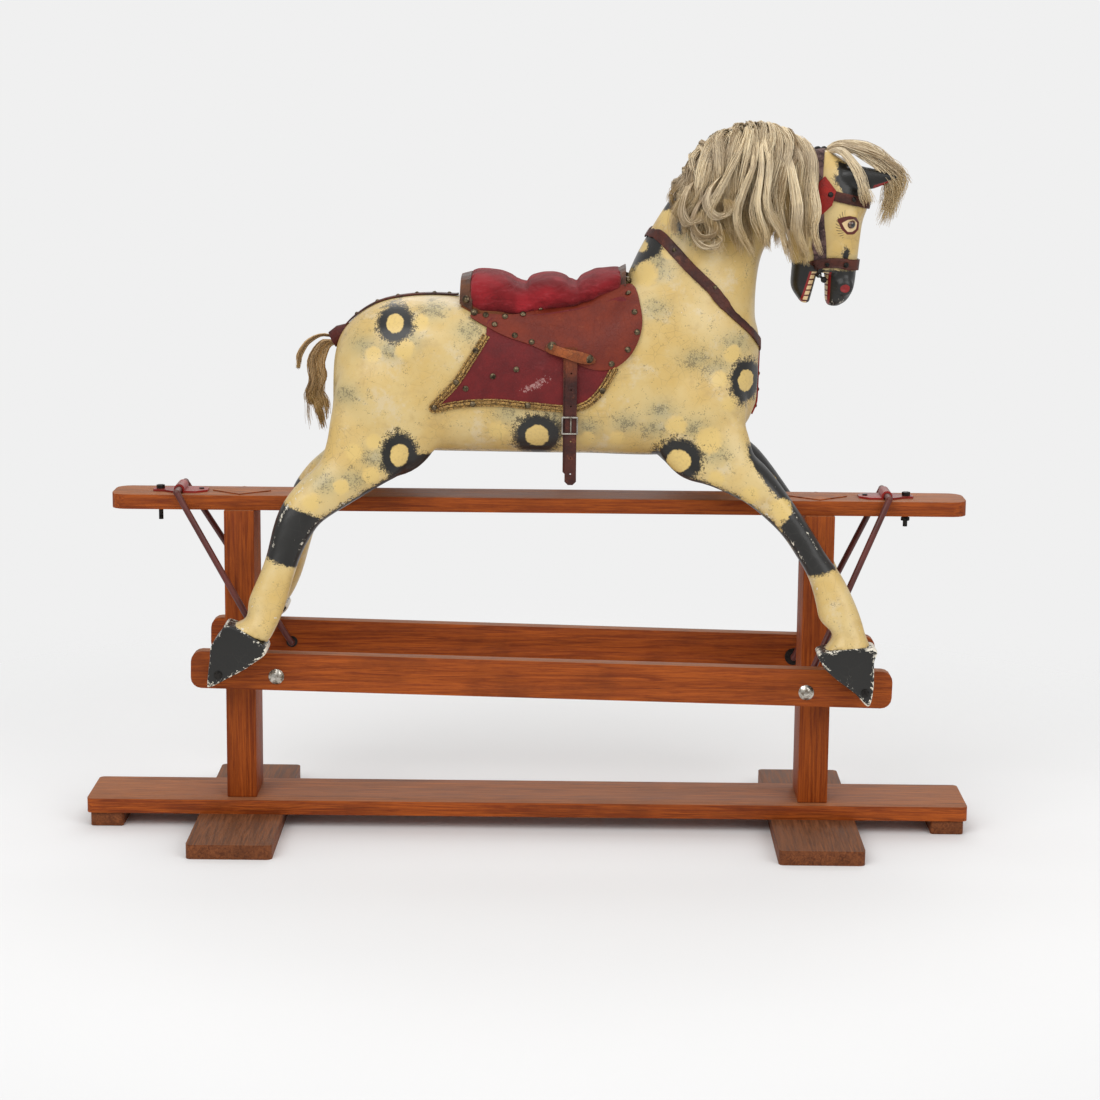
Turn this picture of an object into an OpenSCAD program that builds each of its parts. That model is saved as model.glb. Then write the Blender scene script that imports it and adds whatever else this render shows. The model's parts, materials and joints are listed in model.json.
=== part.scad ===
// Rocking horse on a swing stand: a carved wooden horse bolted to two long rails, which hang
// from the stand's top rail on two bent swing irons. X runs along the stand towards the horse's
// nose, Z is up, and the origin is on the floor under the middle of the stand.

/* [Stand] */
// Width of the floor board and of its cross feet
board_w = 127; // [105:1:155]
// Thickness of the stand's boards
board_t = 22; // [18:1:27]
// Length of a cross foot, across the stand
foot_len = 452; // [380:2:560]
// How far the floor board runs past the centre of each post
base_overhang = 235; // [190:5:290]
// Height of the top rail's upper face above the floor
stand_h = 510; // [470:5:620]
// Width of the top rail
top_rail_w = 84; // [76:1:92]
// Length of the top rail behind the rear swing iron
rear_overhang = 101; // [80:1:130]
// Length of the top rail ahead of the front swing iron
front_overhang = 119; // [90:1:145]
// Thickness of a post along the stand
post_w = 45; // [36:1:56]
// Depth of a post across the stand
post_d = 94; // [76:1:98]

/* [Swing] */
// Distance between the two pivots of a horse rail
pivot_span = 786; // [650:1:950]
// Length of a swing iron from hanger to pivot
iron_len = 304; // [250:1:365]
// Diameter of the swing irons' rod
iron_d = 9.5; // [7.9:0.1:11.5]
// Angle of the irons from upright when the rails are level
iron_lean = 27.2; // [20:0.1:34]
// Angle that the irons hang forward of level at rest
rest_swing = 3.4; // [0:0.1:6]
// Radial room of the rear pivots
pin_gap = 0.25; // [0.1:0.05:0.5]
// Radial room of the front pivots, which take up the linkage's small change of length
front_pin_play = 5.5; // [5.3:0.1:7]

/* [Horse rails] */
// Distance over the outer faces of the two rails
rails_w = 260; // [250:2:320]
// Thickness of a rail
rail_t = 22; // [18:1:26]
// Height of a rail
rail_h = 56; // [46:1:67]
// Length of a rail past each pivot
rail_overhang = 127; // [105:1:152]

/* [Horse] */
// Height of the carved horse from its rail pivots to the crest of the neck
horse_h = 806; // [700:2:960]
// Width of the horse's barrel
barrel_w = 236; // [200:2:284]
// Wall of the hollow barrel
barrel_wall = 34; // [24:1:42]
// Width of a hoof
hoof_w = 52; // [42:1:62]

/* [Saddlery] */
// Thickness of the saddle cloth
cloth_t = 2; // [1.5:0.1:2.6]
// Thickness of the saddle flap's leather
flap_t = 2.6; // [2:0.1:3.2]
// Thickness of the harness straps
strap_t = 3; // [2.4:0.1:3.6]
// Width of the harness straps
strap_w = 19; // [15:1:23]
// Diameter of an upholstery nail's head
nail_d = 8; // [6.5:0.1:9.5]

/* [Hidden] */

$fn = 32;
wood = "#a5542a";
pale_wood = "#8a6a4e";
iron_paint = "#4a2323";
red_paint = "#a8343a";
dark_steel = "#2b2a2c";
nickel = "#b9b4ad";
horse_paint = "#e3c887";
brown_leather = "#7d3b26";
dark_leather = "#4d2a22";
red_leather = "#8c2530";
red_cloth = "#a81f38";
hair = "#c9b48c";
eps = 0.01;

// The horse was drawn at these sizes, and its outlines scale from them.
drawn_span = 786;
drawn_h = 806;
drawn_w = 236;
kx = pivot_span / drawn_span;
kz = horse_h / drawn_h;
ky = barrel_w / drawn_w;

// Stand heights and places.
base_top = 2 * board_t;
rail_under = stand_h - board_t;
post_x = pivot_span / 2 + 42;
base_len = 2 * (post_x + base_overhang);
foot_corner = 8;
block_len = 50;
block_inset = 5;
tenon_w = post_w * 0.5;
tenon_d = post_d * 0.6;

// Swing linkage. The hangers turn in the brackets on the top rail, and the rails' two pivots
// follow from the length of the irons and the angle at which they hang.
iron_r = iron_d / 2;
seat_gap = 0.35;
hanger_shift = 5;
hanger_span = pivot_span + 2 * iron_len * sin(iron_lean);
hanger_z = stand_h + iron_r + seat_gap;
rear_hanger = [hanger_shift - hanger_span / 2, hanger_z];
front_hanger = [hanger_shift + hanger_span / 2, hanger_z];
rear_angle = iron_lean + rest_swing;
rear_pin = rear_hanger + iron_len * [sin(rear_angle), -cos(rear_angle)];
reach = front_hanger - rear_pin;
reach_len = norm(reach);
along = (pivot_span * pivot_span - iron_len * iron_len + reach_len * reach_len) / (2 * reach_len);
below = sqrt(pivot_span * pivot_span - along * along);
reach_dir = reach / reach_len;
front_pin = rear_pin + along * reach_dir + below * [reach_dir[1], -reach_dir[0]];
tilt = atan2(front_pin[1] - rear_pin[1], front_pin[0] - rear_pin[0]);

// Across the stand.
rail_out = rails_w / 2;
rail_in = rail_out - rail_t;
crossbar_half = top_rail_w / 2 + iron_r + 4;
elbow_y = rail_in - iron_r - 3.4;
pin_end = rail_out - 1;
washer_t = 1.6;
cap_r = iron_r + front_pin_play + 1.2;
cap_h = 5;
rear_washer_r = iron_r + 4;
front_washer_r = iron_r + front_pin_play + 3;

// Horse rails. The pivots sit a little under the middle of a rail.
pivot_drop = 7;
rail_len = pivot_span + 2 * rail_overhang;
rail_corner = 16;

// Hanger brackets, with the bolt at the end away from the post.
bracket_t = 3;
bracket_half = 41;
bracket_w = 46;
bolt_x = 31;
bolt_r = 3.4;
screw_r = 2;
thread_past_nut = 8;

// Hooves.
hoof_y = rail_out + hoof_w / 2;
hoof_bolt_r = 3.5;

// ---------------------------------------------------------------- shared shapes

function lerp(a, b, t) = a + (b - a) * t;
function power_of(v, n) = sign(v) * pow(abs(v), n);

// Ring of points around a centre, with half axes u and v, as a superellipse of power n.
function ring(c, u, v, n, sides) = [
    for (i = [0:sides - 1]) let (a = 360 * i / sides)
        c + u * power_of(cos(a), 2 / n) + v * power_of(sin(a), 2 / n)
];

// Closed skin over rings of equal length, with a fan at each end.
module loft(rings) {
    n = len(rings[0]);
    m = len(rings);
    points = concat([for (r = rings) for (p = r) p], [sum_of(rings[0]) / n, sum_of(rings[m - 1]) / n]);
    sides = [for (k = [0:m - 2]) for (i = [0:n - 1]) let (j = (i + 1) % n)
        each [[k * n + i, k * n + j, (k + 1) * n + j], [k * n + i, (k + 1) * n + j, (k + 1) * n + i]]];
    ends = [for (i = [0:n - 1]) let (j = (i + 1) % n)
        each [[j, i, m * n], [(m - 1) * n + i, (m - 1) * n + j, m * n + 1]]];
    polyhedron(points, concat(sides, ends), convexity = 8);
}
function sum_of(v, i = 0) = i == len(v) - 1 ? v[i] : v[i] + sum_of(v, i + 1);

// Point of the horse from its drawn side view, at a true distance y from the middle.
function at(x, y, z) = [x * kx, y, z * kz];

// Rectangle with rounded corners, centred.
function rounded(l, h, r) = [
    for (q = [[1, 1, 0], [-1, 1, 90], [-1, -1, 180], [1, -1, 270]])
        for (s = [0:4]) let (a = q[2] + 22.5 * s)
            [q[0] * (l / 2 - r) + r * cos(a), q[1] * (h / 2 - r) + r * sin(a)]
];

// Straight rod between two points.
module rod(p, q, r) {
    d = q - p;
    translate(p)
        rotate([0, acos(d[2] / norm(d)), atan2(d[1], d[0])])
            cylinder(h = norm(d), r = r);
}

// Round bar along Y between two distances, at a place in the side view.
module cross_bar(at_xz, y0, y1, r) {
    translate([at_xz[0], y0, at_xz[1]])
        rotate([-90, 0, 0])
            cylinder(h = y1 - y0, r = r);
}

// Side-view outline extruded across, from y0 to y1.
module side_slab(outline, y0, y1) {
    translate([0, y1, 0])
        rotate([90, 0, 0])
            linear_extrude(y1 - y0)
                polygon(outline);
}

// Puts what is drawn about the rails' middle, at pivot height, where the rails hang at rest.
module hung() {
    translate([rear_pin[0], 0, rear_pin[1]])
        rotate([0, -tilt, 0])
            translate([pivot_span / 2, 0, 0])
                children();
}

module left_side() {
    mirror([0, 1, 0])
        children();
}

module both_sides() {
    children();
    left_side() children();
}

// ---------------------------------------------------------------- stand

module tenon(z0, z1) {
    translate([-tenon_w / 2, -tenon_d / 2, z0])
        cube([tenon_w, tenon_d, z1 - z0]);
}

module at_posts() {
    for (side = [-1, 1])
        translate([side * post_x, 0, 0])
            children();
}

module screw_places() {
    for (x = [-0.3, 0.3], y = [-0.32, 0.32])
        translate([x * board_w, y * board_w, 0])
            children();
}

module foot_screw() {
    cylinder(h = 3, r = 4.5);
    cylinder(h = 1.7 * board_t, r = screw_r);
}

module base_board() {
    color(wood)
        difference() {
            translate([0, 0, board_t])
                linear_extrude(board_t)
                    polygon(rounded(base_len, board_w, foot_corner));
            at_posts() tenon(board_t - eps, base_top + eps);
            at_posts() screw_places() foot_screw();
        }
}

module cross_foot(side) {
    color(pale_wood)
        translate([side * post_x, 0, 0])
            difference() {
                linear_extrude(board_t)
                    polygon(rounded(board_w, foot_len, foot_corner));
                screw_places() translate([0, 0, -eps]) cylinder(h = 3 + eps, r = 4.5);
                screw_places() translate([0, 0, 1]) cylinder(h = 2 * board_t, r = screw_r);
            }
}

module end_blocks() {
    color(pale_wood)
        for (side = [-1, 1])
            translate([side * (base_len / 2 - block_inset - block_len / 2), 0, 0])
                linear_extrude(board_t)
                    polygon(rounded(block_len, board_w - 8, 5));
}

module foot_screws() {
    color(dark_steel)
        at_posts() screw_places() foot_screw();
}

module post(side) {
    color(wood)
        translate([side * post_x, 0, 0]) {
            translate([-post_w / 2, -post_d / 2, base_top])
                cube([post_w, post_d, rail_under - base_top]);
            tenon(board_t, base_top + eps);
            tenon(rail_under - eps, stand_h);
        }
}

module bolt_places() {
    for (side = [-1, 1])
        translate([(side < 0 ? rear_hanger[0] : front_hanger[0]) + side * bolt_x, 0, 0])
            children();
}

module inner_screw_places() {
    for (side = [-1, 1])
        translate([(side < 0 ? rear_hanger[0] : front_hanger[0]) - side * bolt_x, 0, 0])
            children();
}

module top_rail() {
    x0 = rear_hanger[0] - rear_overhang;
    x1 = front_hanger[0] + front_overhang;
    color(wood)
        difference() {
            translate([(x0 + x1) / 2, 0, rail_under])
                linear_extrude(board_t)
                    polygon(rounded(x1 - x0, top_rail_w, 22));
            at_posts() tenon(rail_under - 1, stand_h + 1);
            bolt_places() translate([0, 0, rail_under - 1]) cylinder(h = board_t + 2, r = bolt_r);
            inner_screw_places()
                translate([0, 0, stand_h - 14]) cylinder(h = 14 + eps, r = screw_r);
        }
}

module diamond_plate(side) {
    long_half = post_w * 0.98;
    wide_half = top_rail_w * 0.42;
    color(pale_wood)
        translate([side * post_x, 0, stand_h]) {
            linear_extrude(1.6)
                polygon([[long_half, 0], [0, wide_half], [-long_half, 0], [0, -wide_half]]);
            translate([0, 0, 1.6 - eps])
                linear_extrude(2.4, scale = 0.2)
                    polygon([[long_half, 0], [0, wide_half], [-long_half, 0], [0, -wide_half]]);
        }
}

// Strap that holds an iron's crossbar down, drawn for the rear hanger.
module hanger_bracket(place, side) {
    tunnel_r = iron_r + seat_gap;
    outer_r = tunnel_r + bracket_t;
    plan = [
        [-bracket_half, -9], [-24, -13], [-11, -bracket_w / 2], [26, -bracket_w / 2],
        [bracket_half, -10], [bracket_half, 10], [26, bracket_w / 2], [-11, bracket_w / 2],
        [-24, 13], [-bracket_half, 9]
    ];
    color(red_paint)
        translate([place[0], 0, stand_h])
            mirror([side > 0 ? 1 : 0, 0, 0])
                difference() {
                    intersection() {
                        union() {
                            translate([-bracket_half, -bracket_w / 2, 0])
                                cube([2 * bracket_half, bracket_w, bracket_t]);
                            translate([-outer_r, -bracket_w / 2, 0])
                                cube([2 * outer_r, bracket_w, hanger_z - stand_h]);
                            cross_bar([0, hanger_z - stand_h], -bracket_w / 2, bracket_w / 2, outer_r);
                        }
                        linear_extrude(40) polygon(plan);
                    }
                    cross_bar([0, hanger_z - stand_h], -bracket_w, bracket_w, tunnel_r);
                    translate([-tunnel_r, -bracket_w, -1])
                        cube([2 * tunnel_r, 2 * bracket_w, hanger_z - stand_h + 1]);
                    translate([-bolt_x, 0, -1]) cylinder(h = 40, r = bolt_r);
                    translate([bolt_x, 0, -1]) cylinder(h = 40, r = screw_r);
                }
}

module hanger_bolts() {
    color(dark_steel)
        bolt_places() {
            translate([0, 0, stand_h + bracket_t])
                cylinder(h = 5.5, r = 6.4, $fn = 6);
            translate([0, 0, rail_under - 22])
                cylinder(h = 22 + board_t + bracket_t + eps, r = bolt_r);
        }
}

// The rear nut is drawn up to the rail, and the front one has worked down its thread.
module hanger_nuts() {
    nut_h = 5;
    color(dark_steel)
        for (side = [-1, 1])
            translate([
                (side < 0 ? rear_hanger[0] : front_hanger[0]) + side * bolt_x, 0,
                rail_under - nut_h - (side < 0 ? 0 : thread_past_nut)
            ])
                difference() {
                    cylinder(h = nut_h, r = 6.6, $fn = 6);
                    translate([0, 0, -1]) cylinder(h = nut_h + 2, r = bolt_r);
                }
}

module hanger_screws() {
    color(dark_steel)
        inner_screw_places() {
            translate([0, 0, stand_h - 14]) cylinder(h = 14 + bracket_t + eps, r = screw_r);
            translate([0, 0, stand_h + bracket_t]) cylinder(h = 1.6, r = 3.8);
        }
}

// ---------------------------------------------------------------- swing irons

module swing_iron(hanger, pin) {
    bend_r = iron_r * 1.06;
    color(iron_paint) {
        cross_bar(hanger, -crossbar_half, crossbar_half, iron_r);
        for (side = [-1, 1]) {
            top = [hanger[0], side * crossbar_half, hanger[1]];
            foot = [pin[0], side * elbow_y, pin[1]];
            rod(top, foot, iron_r);
            translate(top) sphere(bend_r);
            translate(foot) sphere(bend_r);
            rod(foot, [pin[0], side * pin_end, pin[1]], iron_r);
        }
    }
}

// Washers between the irons and the rails' inner faces, held by the irons' pins.
module pivot_washers(pin, outer_r) {
    color(nickel)
        for (side = [-1, 1])
            translate([pin[0], side * (rail_in - 0.3 - washer_t / 2), pin[1]])
                rotate([90, 0, 0])
                    difference() {
                        cylinder(h = washer_t, r = outer_r, center = true);
                        cylinder(h = washer_t + 1, r = iron_r, center = true);
                    }
}

// ---------------------------------------------------------------- horse rails

module at_hooves() {
    for (place = [hind_bolt, fore_bolt])
        translate(at(place[0], 0, place[1]))
            children();
}
hind_bolt = [-473, 12];
fore_bolt = [474, 14];

module right_rail_body() {
    difference() {
        side_slab([for (p = rounded(rail_len, rail_h, rail_corner)) p + [0, pivot_drop]],
            -rail_out, -rail_in);
        cross_bar([-pivot_span / 2, 0], -rail_out - 1, -rail_in + 1, iron_r + pin_gap);
        cross_bar([pivot_span / 2, 0], -rail_out - 1, -rail_in + 1, iron_r + front_pin_play);
        at_hooves() cross_bar([0, 0], -rail_out - 1, -rail_in + 1, hoof_bolt_r);
    }
}

module rail(side) {
    color(wood)
        hung()
            mirror([0, side > 0 ? 1 : 0, 0]) right_rail_body();
}

module pivot_caps() {
    color(nickel)
        hung()
            both_sides()
                for (x = [-pivot_span / 2, pivot_span / 2])
                    translate([x, -rail_out, 0])
                        rotate([90, 0, 0])
                            intersection() {
                                cylinder(h = cap_h + 1, r = cap_r);
                                translate([0, 0, cap_h - cap_r * 1.5]) sphere(cap_r * 1.5, $fn = 48);
                            }
}

module hoof_bolts() {
    color(dark_steel)
        hung()
            both_sides()
                at_hooves() {
                    cross_bar([0, 0], -rail_out - hoof_w, -rail_in + 8, hoof_bolt_r);
                    cross_bar([0, 0], -rail_out - hoof_w - 2, -rail_out - hoof_w, 6);
                }
}

module hoof_nuts() {
    color(dark_steel)
        hung()
            both_sides()
                at_hooves()
                    translate([0, -rail_in, 0])
                        rotate([-90, 0, 0])
                            difference() {
                                cylinder(h = 5, r = 6.5, $fn = 6);
                                translate([0, 0, -1]) cylinder(h = 7, r = hoof_bolt_r);
                            }
}

// ---------------------------------------------------------------- carved horse

// Barrel sections from rump to chest: place along the horse, underside, top, half width.
barrel_sections = [
    [-322, 392, 470, 50], [-314, 366, 500, 74], [-292, 348, 526, 94], [-255, 337, 549, 107],
    [-200, 331, 560, 115], [-135, 331, 560, 118], [-65, 332, 550, 118], [5, 333, 545, 118],
    [70, 334, 560, 116], [120, 333, 592, 112], [170, 334, 612, 107], [220, 342, 606, 99],
    [262, 356, 588, 86], [292, 380, 562, 66], [308, 415, 520, 36]
];
barrel_power = 3;
barrel_sides = 28;
function barrel_low(x) = lookup(x, [for (s = barrel_sections) [s[0], s[1]]]);
function barrel_high(x) = lookup(x, [for (s = barrel_sections) [s[0], s[2]]]);
function barrel_half(x) = lookup(x, [for (s = barrel_sections) [s[0], s[3]]]);

// Distance of the barrel's side from the middle, at a place in the drawn side view.
function barrel_y(x, z) = let (
    low = barrel_low(x), high = barrel_high(x), share = abs(2 * z - low - high) / (high - low)
) barrel_half(x) * ky * pow(max(0, 1 - pow(min(1, share), barrel_power)), 1 / barrel_power);

module barrel_form(grow = 0) {
    n = len(barrel_sections) - 1;
    loft([for (i = [0:n]) let (s = barrel_sections[i], past = (i == 0 ? -1 : i == n ? 1 : 0) * grow / kx)
        ring(at(s[0] + past, 0, (s[1] + s[2]) / 2), [0, 0, (s[2] - s[1]) / 2 * kz + grow],
            [0, max(1, s[3] * ky + grow), 0], barrel_power, barrel_sides)]);
}

// Stations given by a rear and a front point of the side view and a half width.
function stations(list, grow, n, sides) = [
    for (s = list) let (
        rear = at(s[0], 0, s[1]), front = at(s[2], 0, s[3]),
        half = (front - rear) / 2, longer = 1 + grow / norm(half)
    ) ring((front + rear) / 2, half * longer, [0, s[4] * ky + grow, 0], n, sides)
];

// Neck from the shoulder to the poll: throat point, crest point, half width.
neck_sections = [
    [288, 440, 96, 560, 92], [304, 500, 118, 620, 84], [301, 556, 142, 668, 74],
    [302, 600, 166, 708, 65], [308, 636, 195, 745, 58], [322, 664, 232, 780, 53],
    [340, 692, 284, 802, 49], [356, 712, 330, 803, 46], [374, 728, 364, 796, 43]
];
module neck_form(grow = 0) {
    loft(stations(neck_sections, grow, 2.3, 24));
}

// Skull from the poll to the lips: back point, face point, half width.
skull_sections = [
    [372, 788, 398, 793, 30], [354, 764, 436, 771, 42], [346, 736, 458, 742, 48],
    [344, 706, 462, 715, 49], [344, 676, 455, 690, 47], [347, 650, 452, 660, 41],
    [352, 628, 450, 630, 35], [355, 613, 449, 613, 32]
];
upper_jaw_sections = [
    [402, 622, 449, 622, 31], [403, 600, 448, 602, 30], [404, 584, 445, 586, 29],
    [405, 571, 436, 571, 25], [409, 563, 424, 563, 17]
];
lower_jaw_sections = [
    [354, 625, 394, 625, 28], [353, 610, 391, 611, 28], [354, 588, 386, 588, 25],
    [369, 566, 381, 566, 15]
];
module skull_form(grow = 0) {
    loft(stations(skull_sections, grow, 2.4, 24));
}
module head_form(grow = 0) {
    skull_form(grow);
    loft(stations(upper_jaw_sections, grow, 2.4, 20));
    loft(stations(lower_jaw_sections, grow, 2.4, 20));
}

// Leg stations: rear point, front point, share of the way out to the hoof, half width.
hind_leg_sections = [
    [-316, 420, -186, 392, 0, 30], [-322, 385, -192, 348, 0.04, 34], [-328, 343, -210, 309, 0.1, 35],
    [-340, 314, -243, 288, 0.18, 34], [-368, 286, -291, 258, 0.28, 32],
    [-390, 255, -326, 235, 0.37, 30], [-401, 225, -341, 218, 0.45, 28],
    [-410, 183, -357, 188, 0.55, 26], [-419, 155, -367, 158, 0.64, 25],
    [-434, 118, -377, 120, 0.76, 24], [-437, 90, -387, 90, 0.86, 25], [-462, 84, -402, 58, 1, 26]
];
fore_leg_sections = [
    [150, 400, 278, 420, 0, 28], [160, 350, 296, 372, 0.04, 33], [195, 312, 303, 348, 0.1, 34],
    [240, 300, 320, 333, 0.18, 33], [292, 278, 341, 309, 0.28, 31], [327, 252, 366, 276, 0.36, 29],
    [350, 230, 390, 243, 0.44, 28], [369, 204, 414, 206, 0.52, 27], [388, 173, 436, 179, 0.61, 26],
    [400, 137, 454, 147, 0.73, 25], [406, 113, 467, 117, 0.82, 25], [426, 93, 475, 92, 0.9, 25],
    [411, 70, 483, 78, 1, 26]
];
hind_hoof = [
    [-457, 86], [-472, 72], [-484, 54], [-486, 33], [-489, 0], [-485, -7], [-457, 8],
    [-425, 28], [-403, 54]
];
fore_hoof = [
    [409, 72], [409, 55], [426, 37], [460, 12], [480, -6], [486, 20], [485, 58], [483, 80]
];
hind_top_y = 80;
fore_top_y = 74;

module leg_form(sections, top_y) {
    loft([for (s = sections) let (
        rear = at(s[0], 0, s[1]), front = at(s[2], 0, s[3]),
        y = lerp(top_y * ky, hoof_y, s[4])
    ) ring((front + rear) / 2 + [0, -y, 0], (front - rear) / 2, [0, s[5] * hoof_w / 52, 0], 2.8, 16)]);
}

module hoof_form(outline) {
    side_slab([for (p = outline) [p[0] * kx, p[1] * kz]], -rail_out - hoof_w, -rail_out);
}

module leg(side, sections, top_y, hoof, bolt) {
    difference() {
        mirror([0, side > 0 ? 1 : 0, 0]) {
            leg_form(sections, top_y);
            hoof_form(hoof);
        }
        barrel_form();
        mirror([0, side > 0 ? 1 : 0, 0])
            translate(at(bolt[0], 0, bolt[1]))
                cross_bar([0, 0], -rail_out - hoof_w - 1, -rail_out + 1, hoof_bolt_r);
    }
}

module hind_leg(side) {
    color(horse_paint)
        hung() leg(side, hind_leg_sections, hind_top_y, hind_hoof, hind_bolt);
}

module fore_leg(side) {
    color(horse_paint)
        hung() leg(side, fore_leg_sections, fore_top_y, fore_hoof, fore_bolt);
}

module barrel() {
    color(horse_paint)
        hung()
            difference() {
                barrel_form();
                intersection() {
                    barrel_form(-barrel_wall);
                    translate([-270 * kx, -200, 0]) cube([530 * kx, 400, 1000]);
                }
            }
}

module neck() {
    color(horse_paint)
        hung()
            difference() {
                neck_form();
                barrel_form();
            }
}

module head() {
    color(horse_paint)
        hung()
            difference() {
                head_form();
                neck_form();
            }
}

// Ear pricked forward, from its root in the poll to its tip.
module right_ear_form(grow = 0) {
    hull() {
        translate(at(420, -30 * ky, 756)) scale([1.1, 0.66, 1.1]) sphere(18 + grow, $fn = 20);
        translate(at(462, -41 * ky, 752)) sphere(11 + grow, $fn = 16);
        translate(at(499, -45 * ky, 757)) sphere(3 + grow, $fn = 13);
    }
}

module ear(side) {
    color(horse_paint)
        hung()
            mirror([0, side > 0 ? 1 : 0, 0])
                difference() {
                    right_ear_form();
                    skull_form();
                    neck_form();
                    skull_band(brow_outline, strap_t + 0.1);
                }
}

eye_place = [428, 686];
module eyes() {
    color(dark_leather)
        hung()
            difference() {
                both_sides()
                    translate(at(eye_place[0], -36 * ky, eye_place[1])) sphere(11, $fn = 24);
                skull_form();
            }
}

// ---------------------------------------------------------------- saddle

// Saddle block on the barrel: place, top, half width. Its cantle and pommel stand up.
block_sections = [
    [-134, 590, 72], [-122, 594, 80], [-104, 572, 88], [-60, 560, 94], [0, 560, 93],
    [52, 574, 86], [86, 600, 74], [104, 612, 64]
];
block_low = 480;
block_power = 3;
function block_top(x) = lookup(x, [for (s = block_sections) [s[0], s[1]]]);
function block_half(x) = lookup(x, [for (s = block_sections) [s[0], s[2]]]);
function block_y(x, z) = let (
    high = block_top(x), share = abs(2 * z - block_low - high) / (high - block_low)
) block_half(x) * ky * pow(max(0, 1 - pow(min(1, share), block_power)), 1 / block_power);

module block_form(grow = 0) {
    n = len(block_sections) - 1;
    loft([for (i = [0:n]) let (s = block_sections[i], past = (i == 0 ? -1 : i == n ? 1 : 0) * grow / kx)
        ring(at(s[0] + past, 0, (s[1] + block_low) / 2),
            [0, 0, (s[1] - block_low) / 2 * kz + grow], [0, s[2] * ky + grow, 0], block_power, 24)]);
}

module saddle_block() {
    color(pale_wood)
        hung()
            difference() {
                block_form();
                barrel_form();
                neck_form();
            }
}

// Stuffed seat over the block: place, top at the middle, half width.
seat_sections = [
    [-118, 606, 72], [-108, 608, 78], [-90, 600, 84], [-47, 588, 86], [-20, 592, 84],
    [5, 597, 81], [30, 594, 77], [60, 606, 72], [86, 618, 64], [93, 617, 60]
];
function seat_low(s) = max(552, s[1] - 46);
module seat_form() {
    loft([for (s = seat_sections)
        ring(at(s[0], 0, (s[1] + seat_low(s)) / 2), [0, 0, (s[1] - seat_low(s)) / 2 * kz],
            [0, s[2] * ky, 0], 2.6, 24)]);
}

module seat() {
    color(red_cloth)
        hung()
            difference() {
                seat_form();
                block_form(cloth_t + flap_t + 0.2);
                barrel_form();
                neck_form();
            }
}

// Leather over one end of the block, between two places along the horse.
module block_band(x0, x1) {
    color(brown_leather)
        hung()
            difference() {
                intersection() {
                    block_form(flap_t);
                    translate([x0 * kx, -200, block_low * kz]) cube([(x1 - x0) * kx, 400, 400]);
                }
                block_form();
                barrel_form(cloth_t + flap_t + 0.2);
                neck_form();
                both_sides() side_slab(flat(flap_outline), -200, -20);
            }
}

module cantle_band() {
    block_band(-150, seat_sections[0][0]);
}

module pommel_band() {
    block_band(seat_sections[len(seat_sections) - 1][0], 120);
}

// Outlines on the side of the barrel, in the drawn side view.
cloth_outline = [
    [-112, 536], [-104, 500], [-118, 476], [-136, 446], [-174, 403], [-145, 411], [-116, 416],
    [-76, 418], [-29, 415], [23, 411], [48, 415], [66, 428], [80, 447], [94, 480], [112, 505],
    [116, 540], [104, 572], [60, 560], [0, 548], [-60, 536]
];
flap_outline = [
    [-116, 538], [-92, 524], [-64, 512], [-36, 504], [-9, 494], [30, 480], [62, 470], [90, 472],
    [112, 488], [125, 510], [131, 536], [128, 562], [116, 588], [92, 588], [58, 574], [30, 564],
    [0, 556], [-30, 548], [-60, 543], [-92, 542]
];
function flat(outline) = [for (p = outline) [p[0] * kx, p[1] * kz]];

module saddle_ground(grow) {
    barrel_form(grow);
    block_form(grow);
}

// Sheet lying on the barrel and the block between two depths, inside an outline.
module side_sheet(side, outline, low, high) {
    difference() {
        intersection() {
            saddle_ground(high);
            mirror([0, side > 0 ? 1 : 0, 0]) side_slab(flat(outline), -200, -20);
        }
        saddle_ground(low);
        neck_form();
        seat_form();
    }
}

module saddle_cloth(side) {
    color(red_leather)
        hung() side_sheet(side, cloth_outline, 0, cloth_t);
}

module saddle_flap(side) {
    color(brown_leather)
        hung()
            difference() {
                side_sheet(side, flap_outline, cloth_t, cloth_t + flap_t);
                mirror([0, side > 0 ? 1 : 0, 0]) keeper_feet();
            }
}

// Domed nail driven square into the horse's right side, its head on what lies there.
module dome_nail(place, y, r) {
    translate(at(place[0], y, place[1]))
        rotate([90, 0, 0]) {
            intersection() {
                cylinder(h = r, r = r);
                translate([0, 0, -r * 0.7]) sphere(r * 1.24);
            }
            translate([0, 0, -10]) cylinder(h = 10 + eps, r = 1);
        }
}
flap_nails = [
    [-100, 533], [-70, 521], [-40, 512], [90, 484], [110, 500], [119, 524], [119, 552],
    [108, 574], [-56, 535], [-25, 540], [8, 547]
];
cloth_nails = [
    [-110, 478], [-142, 431], [-160, 409], [-112, 421], [-30, 420], [60, 428], [-46, 463],
    [-84, 455], [-122, 440]
];
function saddle_y(p) = max(barrel_y(p[0], p[1]), block_y(p[0], p[1]));

module saddle_nails() {
    color("#6d5c4a")
        hung()
            both_sides() {
                for (p = flap_nails) dome_nail(p, -saddle_y(p) - cloth_t - flap_t, nail_d / 2);
                for (p = cloth_nails) dome_nail(p, -saddle_y(p) - cloth_t, nail_d / 2);
            }
}

// Leather keeper nailed over the flap. The stirrup strap passes behind it and hangs there.
keeper_place = [28, 492];
keeper_len = 74;
keeper_h = 13;
keeper_foot = 18;
strap_room = 1.2;
leather_t = 2.5;
strap_in = barrel_w / 2 + cloth_t + strap_room;
strap_out = strap_in + 2 * leather_t;
keeper_in = strap_out + strap_room;

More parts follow.
